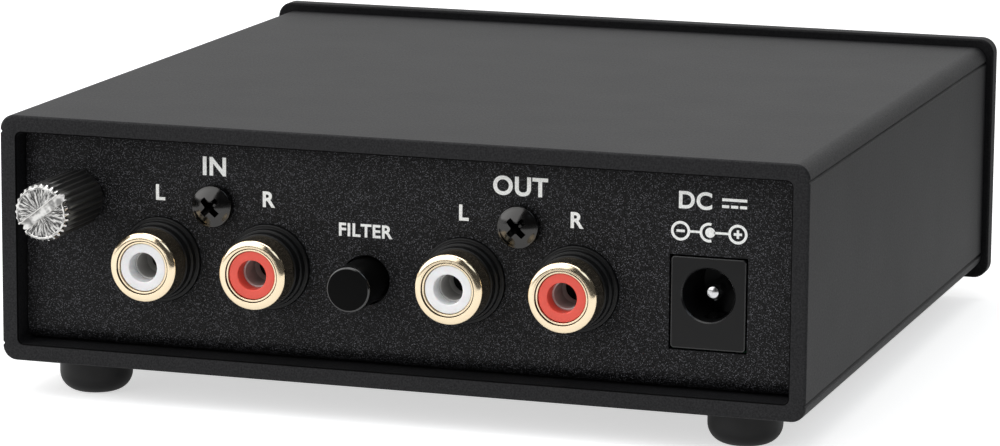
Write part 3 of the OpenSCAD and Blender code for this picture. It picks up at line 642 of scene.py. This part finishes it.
def make_foot(node):
    """A rubber foot with a domed underside, drawn at 4.5 by 4.6 mm and fitted to its node."""
    w, _, h = size(node)
    drawn_r, drawn_h = 4.5 * MM, 4.6 * MM
    corners = [(0, 0, 0), (drawn_r, 0, 2.4 * MM), (drawn_r, drawn_h, 0.15 * MM), (0, drawn_h, 0)]
    wider = w / 2 / drawn_r
    profile = [(p.x * wider, p.y * h / drawn_h) for p in rounded_path(corners, step=9)]
    bm = bmesh.new()
    lathe(bm, profile, segments=72)
    place = Matrix.Translation((middle(node).x, middle(node).y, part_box(node)[0].z))
    piece(raw_object(node + "_rubber", bm, place), "foot_rubber", replaces=[node])


make_casing()
make_front_plate()
for foot in ("foot_rear_left", "foot_rear_right", "foot_front_left", "foot_front_right"):
    make_foot(foot)


# ---------- phono sockets ----------

shell_r = mounts["input_left_ring"]["dims"]["r_mm"] * MM
socket_z = mounts["input_left_ring"]["pos_m"][2]
shell_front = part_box("input_left_shell")[1].y - panel_y
neck_back = -4.4 * MM
tab_half = 0.6 * MM
board_drop = socket_z - board_top
insulator_tones = {"left": "insulator_white", "right": "insulator_red"}


def make_jack_block(pair):
    """The black moulding of a pair: stepped collars in front of the panel, the body behind it."""
    node = pair + "_jack_block"
    low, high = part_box(node)
    place = rear_place(middle(node).x, socket_z)
    sockets = [mounts[f"{pair}_{side}_ring"]["pos_m"][0] for side in ("left", "right")]
    back, face = low.y - panel_y, -sheet_t
    half, drop, rise = size(node).x / 2, socket_z - low.z, 6 * MM
    bm = bmesh.new()
    block(bm, (-half, -drop, back), (half, rise, face))
    obj = raw_object(pair + "_jack_moulding", bm, place)
    boss = bmesh.new()
    boss_half, inside = 3.7 * MM, 0.01 * MM
    block(boss, (-boss_half, 0, back + inside), (boss_half, high.z - socket_z, face - inside))
    join(obj, raw_object("boss", boss, place))
    pockets = bmesh.new()
    pocket_half, pocket_top, past = 4.8 * MM, 4.4 * MM, 1 * MM
    for x in sockets:
        side = middle(node).x - x
        block(pockets, (side - pocket_half, -drop - past, back - past),
              (side + pocket_half, pocket_top, neck_back))
    cut(obj, raw_object("pockets", pockets, place))
    bevel(obj, 0.25 * MM)
    collars = bmesh.new()
    corners = in_mm([
        (4.05, -4.3, 0), (5.2, -4.3, 0), (5.2, 0.5, 0.16), (4.75, 0.5, 0.1), (4.75, 1.4, 0.2),
        (4.45, 1.4, 0.1), (4.45, 2.6, 0.22), (4.05, 2.6, 0.08)])
    profile = rounded_path(corners, closed=True, step=18)
    for x in sockets:
        lathe(collars, profile, closed=True, place=Matrix.Translation((middle(node).x - x, 0, 0)))
    join(obj, raw_object("collars", collars, place))
    piece(obj, "black_moulding", replaces=[node])


def lip_profile():
    """The rolled lip of a shell, from its side over its crown to the groove inside it."""
    inner_r, crown_r = 3.3 * MM, 3.35 * MM
    rise, fall = 0.54 * MM, 0.03 * MM
    over = [(crown_r + (shell_r - crown_r) * math.cos(a), shell_front - rise * (1 - math.sin(a)))
            for a in quarter_turn(20)]
    down = [(crown_r - (crown_r - inner_r) * math.sin(a), shell_front - fall * (1 - math.cos(a)))
            for a in quarter_turn(10)]
    return over + down[1:]


def make_shell(stem, place):
    """Rolled lip, fine groove, inner ring, and the neck that runs back through the collar."""
    back = in_mm([
        (2.95, -4.8, 0), (4.0, -4.8, 0.1), (4.0, 2.62, 0), (4.25, 2.62, 0.08), (4.25, 5.2, 0)])
    front = in_mm([
        (3.3, 5.3, 0), (3.2, 5.3, 0), (3.2, 5.95, 0.06), (2.97, 5.95, 0.05), (2.97, 4.85, 0)])
    profile = rounded_path(back)[:-1] + [Vector(p) for p in lip_profile()] + rounded_path(front)
    bm = bmesh.new()
    lathe(bm, profile, closed=True, segments=128)
    tab_t = 0.4 * MM
    block(bm, (-tab_half, -board_drop, neck_back - tab_t), (tab_half, -3.3 * MM, neck_back))

    # the groove's walls take the dark painted-shade gold
    def in_groove(polygon):
        centre = polygon.center / MM
        return 3.15 < centre.xy.length < 3.31 and 5.2 < centre.z < 5.94

    piece(raw_object(stem + "_gold_ring", bm, place), "gold_plate", replaces=[stem + "_shell"],
          accent="groove_gold", is_accent=in_groove)


def make_insulator(stem, place, contact_front, tone):
    """A nose almost level with the lip, whose hole leads to the contact."""
    step = contact_front / MM + 0.05
    corners = in_mm([
        (2.05, -4.4, 0), (3.13, -4.4, 0), (3.13, 4.8, 0), (2.9, 4.8, 0), (2.9, 5.8, 0.12),
        (1.8, 5.8, 0.14), (1.8, step, 0), (2.05, step, 0)])
    bm = bmesh.new()
    lathe(bm, rounded_path(corners, closed=True), closed=True)
    piece(raw_object(stem + "_nose", bm, place), tone, replaces=[stem + "_insulator"])


def make_contact(stem, place, contact_front):
    """A tube closed at its back, with its solder strip, and deep inside a pale, nearly diffuse
    finish that paints light into the bore.
    """
    front, bore_r, deep = contact_front / MM, 1.6, 0.5
    corners = in_mm([
        (0, -5.1, 0), (2.0, -5.1, 0.1), (2.0, front, 0.12), (bore_r, front, 0.12),
        (bore_r, deep, 0), (bore_r, -4.6, 0.1), (0, -4.6, 0)])
    bm = bmesh.new()
    lathe(bm, rounded_path(corners), segments=72)
    block(bm, (-tab_half, -board_drop, -5.5 * MM), (tab_half, 0, -5.1 * MM))

    # the deep inside of the bore takes the painted-light finish
    def deep_inside(polygon):
        centre = polygon.center / MM
        return centre.xy.length < bore_r + 0.02 and -5 < centre.z < deep

    piece(raw_object(stem + "_tube", bm, place), "contact_plate", replaces=[stem + "_contact"],
          accent="contact_bore", is_accent=deep_inside)


def make_socket(pair, side):
    stem = f"{pair}_{side}"
    place = mount_place(stem + "_ring")
    contact_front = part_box(stem + "_contact")[1].y - panel_y
    make_shell(stem, place)
    make_insulator(stem, place, contact_front, insulator_tones[side])
    make_contact(stem, place, contact_front)


def cross_cutter(recess_r, wing, depth, top, place):
    """Two crossed wedges and a cone that cut a pointed cross recess downwards from top."""
    cutters = []
    above = top + 0.2 * MM
    # share of the recess's radius, share of a wing's width, and height
    levels = ((0.12, 0.25, top - depth), (0.8, 0.85, top - 0.45 * depth), (1, 1, above))
    for turn in (45, 135):
        bm = bmesh.new()
        outlines = []
        for reach, waist, height in levels:
            x, y = recess_r * reach, wing / 2 * waist
            outlines.append(([(x, -y), (x, y), (-x, y), (-x, -y)], height))
        loft(bm, outlines, place=Matrix.Rotation(math.radians(turn), 4, "Z"))
        cutters.append(raw_object("wing", bm, place))
    bm = bmesh.new()
    lathe(bm, [(0, top - depth - 0.1 * MM), (wing * 0.5, top - 0.6 * depth), (wing * 0.85, above),
               (0, above)], segments=32)
    cutters.append(raw_object("middle", bm, place))
    return cutters


def domed_end(outer_r, dome_r, top, edge):
    """Profile of a shallow dome on a round bar, from its side over a soft edge to the axis."""
    edge_points, dome_steps = 5, 12

    def on_dome(a):
        return Vector((dome_r * math.sin(a), top - dome_r + dome_r * math.cos(a)))

    start = math.asin((outer_r - edge) / dome_r)
    rim = on_dome(start)
    side, corner = Vector((outer_r, rim.y - 1.8 * edge)), Vector((outer_r, rim.y))
    shares = [k / edge_points for k in range(edge_points)]
    soft = [side.lerp(corner, share).lerp(corner.lerp(rim, share), share) for share in shares]
    return soft + [on_dome(start * (1 - k / dome_steps)) for k in range(dome_steps + 1)]


def make_jack_screw(pair):
    node = pair + "_jack_screw"
    place = rear_place(middle(node).x, middle(node).z)
    screw_r, screw_h, dome_h = size(node).x / 2, 1.9 * MM, 0.8 * MM
    dome_r = (screw_r ** 2 + dome_h ** 2) / (2 * dome_h)
    profile = in_mm([(0, -8), (1.0, -8), (1.25, -7.6), (1.25, 0.02)])
    profile += [(screw_r - 0.12 * MM, 0.02 * MM), (screw_r - 0.03 * MM, 0.06 * MM),
                (screw_r, 0.15 * MM)]
    profile += domed_end(screw_r, dome_r, screw_h, edge=0.16 * MM)
    bm = bmesh.new()
    lathe(bm, profile, segments=72)
    obj = raw_object(node + "_head", bm, place)
    cut(obj, *cross_cutter(1.45 * MM, 0.8 * MM, 1.75 * MM, screw_h, place))
    bevel(obj, 0.06 * MM, segments=2, angle=35)
    piece(obj, "dark_nickel", replaces=[node])


for pair in ("input", "output"):
    make_jack_block(pair)
    make_jack_screw(pair)
    for side in ("left", "right"):
        make_socket(pair, side)


# ---------- filter button ----------

def make_button():
    node = "filter_button"
    place = rear_place(middle(node).x, middle(node).z)
    face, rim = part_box(node)[1].y - panel_y, 0.3 * MM
    corners = in_mm([(0, -2.8, 0), (2.75, -2.8, 0), (2.75, -2.3, 0), (3.6, -2.3, 0.1),
                     (3.6, -1.3, 0.1), (2.75, -1.3, 0)])
    corners += [(2.75 * MM, face, rim), (0, face, 0)]
    bm = bmesh.new()
    lathe(bm, rounded_path(corners, step=12))
    obj = raw_object("filter_button_cap", bm, place)
    stem, stem_half = bmesh.new(), 1.48 * MM
    block(stem, (-stem_half, -stem_half, -4 * MM), (stem_half, stem_half, 1.5 * MM))
    cut(obj, raw_object("stem", stem, place))

    def on_rim(polygon):
        return polygon.center.z > face - rim and polygon.normal.z < face_level

    piece(obj, "button_black", body="filter_button", replaces=[node], accent="button_rim",
          is_accent=on_rim)


def make_switch_spring():
    """The button's return spring."""
    node = "filter_switch_spring"
    low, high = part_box(node)
    centre = middle(node)
    wire_r, turns, turn_steps, wire_sides = 0.22 * MM, 7, 24, 8
    coil_r = size(node).x / 2 - wire_r
    steps = turns * turn_steps
    rings = []
    bm = bmesh.new()
    for i in range(steps + 1):
        turn = 2 * math.pi * i / turn_steps
        y = low.y + wire_r + (high.y - low.y - 2 * wire_r) * i / steps
        ring = []
        for across, along in (polar(wire_r, a) for a in full_turn(wire_sides)):
            x, z = polar(coil_r + across, turn)
            ring.append(bm.verts.new((centre.x + x, y + along, centre.z + z)))
        rings.append(ring)
    bridge(bm, rings)
    cap(bm, rings)
    obj = raw_object("filter_return_spring", bm)
    piece(obj, "tin_plate", replaces=[node])
    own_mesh(obj)


make_button()
make_switch_spring()


# ---------- power inlet ----------

pin_x, _, pin_z = mounts["power_pin"]["pos_m"]
pin_r = mounts["power_pin"]["dims"]["r_mm"] * MM
inlet_place = rear_place(pin_x, pin_z)
inlet_bore_r = 3.15 * MM
inlet_bore_len = 9.6 * MM
inlet_pocket_end = -12 * MM


def make_inlet_body():
    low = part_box("power_inlet_body")[0]
    w, d, h = size("power_inlet_body")
    edge, past = 0.18 * MM, 0.2 * MM
    shift = Matrix.Translation((0, middle("power_inlet_body").z - pin_z, 0))
    bm = bmesh.new()
    loft(bm, [(box_outline(w, h, 0.45 * MM), -d), (box_outline(w, h, 0.45 * MM), -edge),
              (box_outline(w - 0.6 * edge, h - 0.6 * edge, 0.4 * MM), -0.3 * edge),
              (box_outline(w - 2 * edge, h - 2 * edge, 0.3 * MM), 0)], place=shift)
    obj = raw_object("power_inlet_moulding", bm, inlet_place)
    bore = bmesh.new()
    corners = [(0, -inlet_bore_len, 0), (inlet_bore_r, -inlet_bore_len, 0.1 * MM),
               (inlet_bore_r, -edge, 0.12 * MM), (inlet_bore_r + edge + past, past, 0),
               (0, past, 0)]
    lathe(bore, rounded_path(corners))
    slot, slot_half = bmesh.new(), 1.1 * MM
    block(slot, (-slot_half, -inlet_bore_r - 1.3 * MM, -inlet_bore_len),
          (slot_half, -inlet_bore_r + 0.6 * MM, -2 * MM))
    tabs, tabs_half, more = bmesh.new(), 1.8 * MM, 1 * MM
    block(tabs, (-tabs_half, low.z - pin_z - more, low.y - panel_y - more),
          (tabs_half, 2 * MM, inlet_pocket_end))
    cut(obj, raw_object("bore", bore, inlet_place), raw_object("slot", slot, inlet_place),
        raw_object("tabs", tabs, inlet_place))

    def on_edge(polygon):
        return polygon.center.z > -1.5 * edge and 0.05 < polygon.normal.z < face_level

    piece(obj, "black_moulding", replaces=["power_inlet_body"], accent="moulding_edge",
          is_accent=on_edge)


def make_inlet_pin():
    """The centre pin: a thin stem in the body, a narrowed tip with a small dome, and its tag."""
    low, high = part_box("power_inlet_pin")
    tip, stem_r, tag_half = high.y - panel_y, pin_r - 0.2 * MM, 1.5 * MM
    profile = [(0, inlet_pocket_end), (stem_r, inlet_pocket_end), (stem_r, -inlet_bore_len),
               (pin_r, -inlet_bore_len), (pin_r, tip - 0.76 * MM),
               (pin_r - 0.03 * MM, tip - 0.71 * MM), (0.78 * MM, tip - 0.4 * MM)]
    bm = bmesh.new()
    lathe(bm, profile + domed_end(0.76 * MM, 1.7 * MM, tip, edge=0.14 * MM), segments=64)
    block(bm, (-tag_half, low.z - pin_z, -12.5 * MM), (tag_half, pin_r, inlet_pocket_end))
    piece(raw_object("power_pin_plated", bm, inlet_place), "tin_plate",
          replaces=["power_inlet_pin"])


make_inlet_body()
make_inlet_pin()


# ---------- ground terminal ----------

ground_x, _, ground_z = mounts["ground_terminal"]["pos_m"]
ground_place = rear_place(ground_x, ground_z)
washer_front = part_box("ground_washer")[1].y - panel_y
head_back = washer_front + 0.05 * MM
thread_r = 2.0 * MM
slot_turn = math.radians(38)


def make_ground_screw():
    """A knurled head with a turned rim and a driver's slot, on a threaded shank."""
    knurls = 28
    step = 2 * math.pi / knurls
    # how far round and how far in each point of a knurl's tooth lies, as shares
    tooth = ((0, 0), (0.2, 0), (0.36, 0.5), (0.52, 1), (0.6, 1), (0.82, 0.5))

    def outline(limit):
        return [polar(min(head_r - knurl_t * inwards, limit), (k + along) * step)
                for k in range(knurls) for along, inwards in tooth]

    rim_r, back_edge, taper, chamfer = head_r - knurl_t, 0.12 * MM, 1.1 * MM, 0.46 * MM
    outlines = [(outline(head_r - back_edge), head_back), (outline(head_r), head_back + back_edge),
                (outline(head_r), head_front - taper),
                (outline(head_r - 0.04 * MM), head_front - chamfer),
                (outline(rim_r + 0.03 * MM), head_front - 0.09 * MM)]
    crown, crown_steps = math.radians(28), 3
    crown_r = rim_w / 2 / math.sin(crown)
    for k in range(2 * crown_steps + 1):
        a = crown * (1 - k / crown_steps)
        outlines.append((outline(rim_r - rim_w / 2 + crown_r * math.sin(a)),
                         head_front - crown_r * (1 - math.cos(a))))
    outlines.append((outline(rim_r - rim_w - 0.03 * MM), head_front - face_dish))
    bm = bmesh.new()
    loft(bm, outlines)
    obj = raw_object("ground_thumb_screw_head", bm, ground_place)
    slot = bmesh.new()
    half, floor, rim, reach = 0.525 * MM, head_front - 1.0 * MM, 0.1 * MM, 5 * MM
    top = head_front - face_dish
    section = [(-half, floor), (half, floor), (half, top - rim), (half + 3 * rim, top + 2 * rim),
               (-half - 3 * rim, top + 2 * rim), (-half, top - rim)]
    turn = Matrix.Rotation(slot_turn, 4, "Z")
    rings = [[slot.verts.new(turn @ Vector((x, y, z))) for y, z in section]
             for x in (-reach, reach)]
    bridge(slot, rings)
    cap(slot, rings)
    cut(obj, raw_object("slot", slot, ground_place))
    join(obj, raw_object("thread", thread_mesh(), ground_place))
    piece(obj, "bright_nickel", body="ground_thumb_screw", replaces=["ground_screw"])


def thread_mesh():
    """The screw's shank with a helical thread, which fades out at its end."""
    pitch, depth, run_out = 0.7 * MM, 0.38 * MM, 0.8 * MM
    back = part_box("ground_screw")[0].y - panel_y
    around, per_turn = 48, 8
    rows = int((head_back - back) / pitch * per_turn)
    bm = bmesh.new()
    rings = [[bm.verts.new((0, 0, back))]]
    for row in range(rows + 1):
        z = back + (head_back - back) * row / rows
        fade = min(1, (z - back) / run_out)
        ring = []
        for k, a in enumerate(full_turn(around)):
            phase = (z / pitch - k / around) % 1
            height = 1 - abs(2 * phase - 1)
            r = thread_r - depth * (1 - height) - (1 - fade) * 0.3 * MM * height
            ring.append(bm.verts.new((*polar(r, a), z)))
        rings.append(ring)
    rings.append([bm.verts.new((0, 0, head_back))])
    bridge(bm, rings)
    return bm


def make_washer():
    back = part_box("ground_washer")[0].y - panel_y
    hole_r, outer_r = 2.1 * MM, size("ground_washer").x / 2
    corners = [(hole_r, back, 0.08 * MM), (outer_r, back, 0.1 * MM),
               (outer_r, washer_front, 0.1 * MM), (hole_r, washer_front, 0.08 * MM)]
    bm = bmesh.new()
    lathe(bm, rounded_path(corners, closed=True, step=30), closed=True)
    piece(raw_object("ground_washer_plated", bm, ground_place), "bright_nickel",
          body="ground_clamp", replaces=["ground_washer"])


make_ground_screw()
make_washer()


# ---------- printed marks: generic signs only ----------

ink_t = 0.02 * MM
ink_gap = 0.005 * MM
caps_share = 0.73  # height of a capital in the built-in font, for a size of 1


def text_mesh(text, cap_h, weight):
    curve = bpy.data.curves.new("sign", "FONT")
    curve.body = text
    curve.size = cap_h / caps_share
    curve.offset = weight
    curve.space_character = 1.07
    curve.align_x = "CENTER"
    curve.align_y = "CENTER"
    curve.extrude = ink_t / 2
    obj = bpy.data.objects.new("sign", curve)
    bpy.context.scene.collection.objects.link(obj)
    mesh = evaluated_mesh(obj)
    bpy.data.objects.remove(obj)
    return mesh


def finish_sign(obj):
    obj.data.materials.clear()
    obj.data.materials.append(finishes["label_ink"])
    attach(obj, "preamp")


def make_word(name, text, x, z, cap_h, weight=0.06 * MM):
    mesh = text_mesh(text, cap_h, weight)
    xs, ys = [v.co.x for v in mesh.vertices], [v.co.y for v in mesh.vertices]
    mesh.transform(Matrix.Translation((-(min(xs) + max(xs)) / 2, -(min(ys) + max(ys)) / 2, ink_t)))
    obj = bpy.data.objects.new(name, mesh)
    bpy.context.scene.collection.objects.link(obj)
    obj.matrix_world = rear_place(x, z)
    finish_sign(obj)


def flat_strip(bm, outline):
    """A thin printed area with the given outline."""
    loft(bm, [(outline, ink_gap), (outline, ink_gap + ink_t)])


def ring_sign(bm, x, y, r, width, start=0, end=360):
    """A printed ring, or an arc between two angles."""
    steps = 48
    full = end - start >= 360
    section = rectangle(r - width / 2, ink_gap, r + width / 2, ink_t)
    rings = []
    for k in range(steps if full else steps + 1):
        c, s = polar(1, math.radians(start + (end - start) * k / steps))
        rings.append([bm.verts.new((x + q * c, y + q * s, h)) for q, h in section])
    bridge(bm, rings, close_ends=full)
    if not full:
        cap(bm, rings)


def make_current_sign(x, z):
    """Direct current: a line over a broken line, which has gaps of a quarter of a dash."""
    bm = bmesh.new()
    half, line, off = 1.5 * MM, 0.17 * MM, 0.4 * MM
    flat_strip(bm, rectangle(-half, off - line, half, off + line))
    dash = 2 * half / 3.5
    for k in range(3):
        start = -half + k * 1.25 * dash
        flat_strip(bm, rectangle(start, -off - line, start + dash, -off + line))
    finish_sign(raw_object("sign_direct_current", bm, rear_place(x, z)))


def make_polarity_sign(x, z):
    """Centre-positive polarity: minus ring, sleeve arc, centre dot, plus ring."""
    bm = bmesh.new()
    ring_r, line, reach = 1.0 * MM, 0.32 * MM, 3.45 * MM
    arm, arm_half, lead_half = 0.5 * MM, 0.15 * MM, 0.14 * MM
    dot_r, dot_x, arc_x = 0.6 * MM, 0.12 * MM, -0.95 * MM
    for side in (-1, 1):
        ring_sign(bm, side * reach, 0, ring_r, line)
        flat_strip(bm, rectangle(side * reach - arm, -arm_half, side * reach + arm, arm_half))
    for low, high in ((lead_half, arm), (-arm, -lead_half)):
        flat_strip(bm, rectangle(reach - arm_half, low, reach + arm_half, high))
    ring_sign(bm, 0, 0, ring_r, line, start=75, end=285)
    dot = [polar(dot_r, a) for a in full_turn(32)]
    flat_strip(bm, [(dot_x + across, up) for across, up in dot])
    flat_strip(bm, rectangle(-reach + ring_r, -lead_half, arc_x, lead_half))
    flat_strip(bm, rectangle(dot_r, -lead_half, reach - ring_r, lead_half))
    finish_sign(raw_object("sign_polarity", bm, rear_place(x, z)))


for pair, word in (("input", "IN"), ("output", "OUT")):
    pair_x = middle(pair + "_jack_screw").x
    make_word("sign_" + pair, word, pair_x, socket_z + 11.8 * MM, 2.25 * MM, weight=0.09 * MM)
    for side, letter in (("left", "L"), ("right", "R")):
        x = mounts[f"{pair}_{side}_ring"]["pos_m"][0]
        make_word(f"sign_{pair}_{side}", letter, x, socket_z + 8.2 * MM, 1.9 * MM,
                  weight=0.075 * MM)
make_word("sign_filter", "FILTER", middle("filter_button").x, socket_z + 5.2 * MM, 1.6 * MM)
make_word("sign_dc", "DC", pin_x + 1.7 * MM, socket_z + 11.5 * MM, 2.05 * MM, weight=0.075 * MM)
make_current_sign(pin_x - 3.0 * MM, socket_z + 11.4 * MM)
make_polarity_sign(pin_x, socket_z + 7.8 * MM)


# ---------- camera, floor and light ----------

def aim(obj, place, azimuth, elevation, roll=0.0):
    """Puts an object at a place, looking along an azimuth (0 is along +Y) and down by an
    elevation, both in degrees."""
    a, e = math.radians(azimuth), math.radians(elevation)
    forward = Vector((-math.sin(a) * math.cos(e), math.cos(a) * math.cos(e), -math.sin(e)))
    right = Vector((math.cos(a), math.sin(a), 0))
    up = right.cross(forward)
    basis = Matrix((right, up, -forward)).transposed() @ Matrix.Rotation(math.radians(roll), 3, "Z")
    obj.matrix_world = Matrix.Translation(place) @ basis.to_4x4()


def make_camera():
    """The photo's camera, solved from the edges of the casing and the front plate."""
    data = bpy.data.cameras.new("camera")
    data.lens = 160.157
    data.sensor_width = 36
    data.clip_start = 0.01
    camera = bpy.data.objects.new("camera", data)
    bpy.context.scene.collection.objects.link(camera)
    aim(camera, Vector((-171.427, 533.261, 122.918)) * MM, 197.961, 10.726, roll=0.447)
    bpy.context.scene.camera = camera


def make_softbox(name, azimuth, elevation, distance, width, height, power, colour=(1, 1, 1)):
    """A soft lamp that shines at the object from the given direction."""
    data = bpy.data.lights.new(name, "AREA")
    data.shape = "RECTANGLE"
    data.size, data.size_y = width, height
    data.energy = power
    data.color = colour
    lamp = bpy.data.objects.new(name, data)
    bpy.context.scene.collection.objects.link(lamp)
    target = Vector((0, 0, 0.02))
    aim(lamp, target, azimuth, elevation)
    turned = lamp.matrix_world.to_3x3()
    forward = turned @ Vector((0, 0, -1))
    lamp.matrix_world = Matrix.Translation(target - forward * distance) @ turned.to_4x4()


def seen_background(n):
    """1 for what the camera, a reflection or glass shows, 0 for light that falls on a surface."""
    rays = n.add("ShaderNodeLightPath").outputs
    seen = n.math("MAXIMUM", rays["Is Camera Ray"], rays["Is Glossy Ray"])
    return n.math("MAXIMUM", seen, rays["Is Transmission Ray"])


def to_camera(n, value, other):
    """A value for what the camera sees, and another one for all other rays."""
    return n.spread(n.add("ShaderNodeLightPath").outputs["Is Camera Ray"], other, value)


def make_world(fill, dark, bright_side):
    """White to the camera, an even fill on surfaces and, for reflections, a studio that is bright
    on one side."""
    world = bpy.data.worlds.new("studio")
    bpy.context.scene.world = world
    world.use_nodes = True
    n = Tree(world.node_tree)
    way = n.add("ShaderNodeTexCoord").outputs["Generated"]
    toward = n.vector("DOT_PRODUCT", way, Vector(bright_side).normalized(), output="Value")
    studio = n.spread(toward, dark, 1.0, -0.2, 0.55)
    studio.node.interpolation_type = "SMOOTHSTEP"
    strength = to_camera(n, 1.0, n.spread(seen_background(n), fill, studio))
    n.feed_all(n.tree.nodes["Background"], {"Color": (1, 1, 1, 1), "Strength": strength})


def make_floor():
    """White paper that glows a little, so that it comes out almost as white as the world."""
    bm = bmesh.new()
    bmesh.ops.create_grid(bm, x_segments=24, y_segments=24, size=4)
    floor = raw_object("floor", bm)
    n = Nodes("floor_paper")
    n.set(Base_Color=n.tint(n.noise(3 * MM), (0.79, 0.79, 0.79), (0.81, 0.81, 0.81)), Roughness=0.8)
    n.set(Specular_IOR_Level=0.1, Emission_Color=(1, 1, 1, 1))
    n.set(Emission_Strength=to_camera(n, 0.6, n.spread(seen_background(n), 0, 0.25)))
    floor.data.materials.append(n.material)


def make_card(name, grey, low_x, high_x, low_y, high_y):
    """A grey card on the floor that only reflections show. It gives plated edges and glossy sides
    their dark parts."""
    bm = bmesh.new()
    corners = rectangle(low_x, low_y, high_x, high_y)
    bm.faces.new([bm.verts.new((x, y, 0.5 * MM)) for x, y in corners])
    card = raw_object(name, bm)
    n = Nodes(name + "_felt")
    n.set(Base_Color=n.tint(n.noise(2 * MM), (grey * 0.9,) * 3, (grey * 1.1,) * 3), Roughness=0.9)
    card.data.materials.append(n.material)
    card.visible_camera = card.visible_diffuse = card.visible_shadow = False


bpy.context.scene.view_settings.view_transform = "Standard"
make_camera()
make_floor()
make_card("rear_card", 0.035, -1500 * MM, 66 * MM, 168 * MM, 2500 * MM)
make_card("side_card", 0.45, -400 * MM, -85 * MM, -500 * MM, -30 * MM)
make_world(fill=0.42, dark=0.05, bright_side=(0.85, -0.75, 0.3))
make_softbox("key", azimuth=137, elevation=35, distance=1.6, width=2.1, height=1.6, power=18)
make_softbox("side", azimuth=227, elevation=43, distance=1.6, width=1.0, height=0.65, power=2.5,
             colour=(0.82, 0.91, 1))
make_softbox("top", azimuth=190, elevation=82, distance=1.5, width=1.2, height=0.9, power=7)
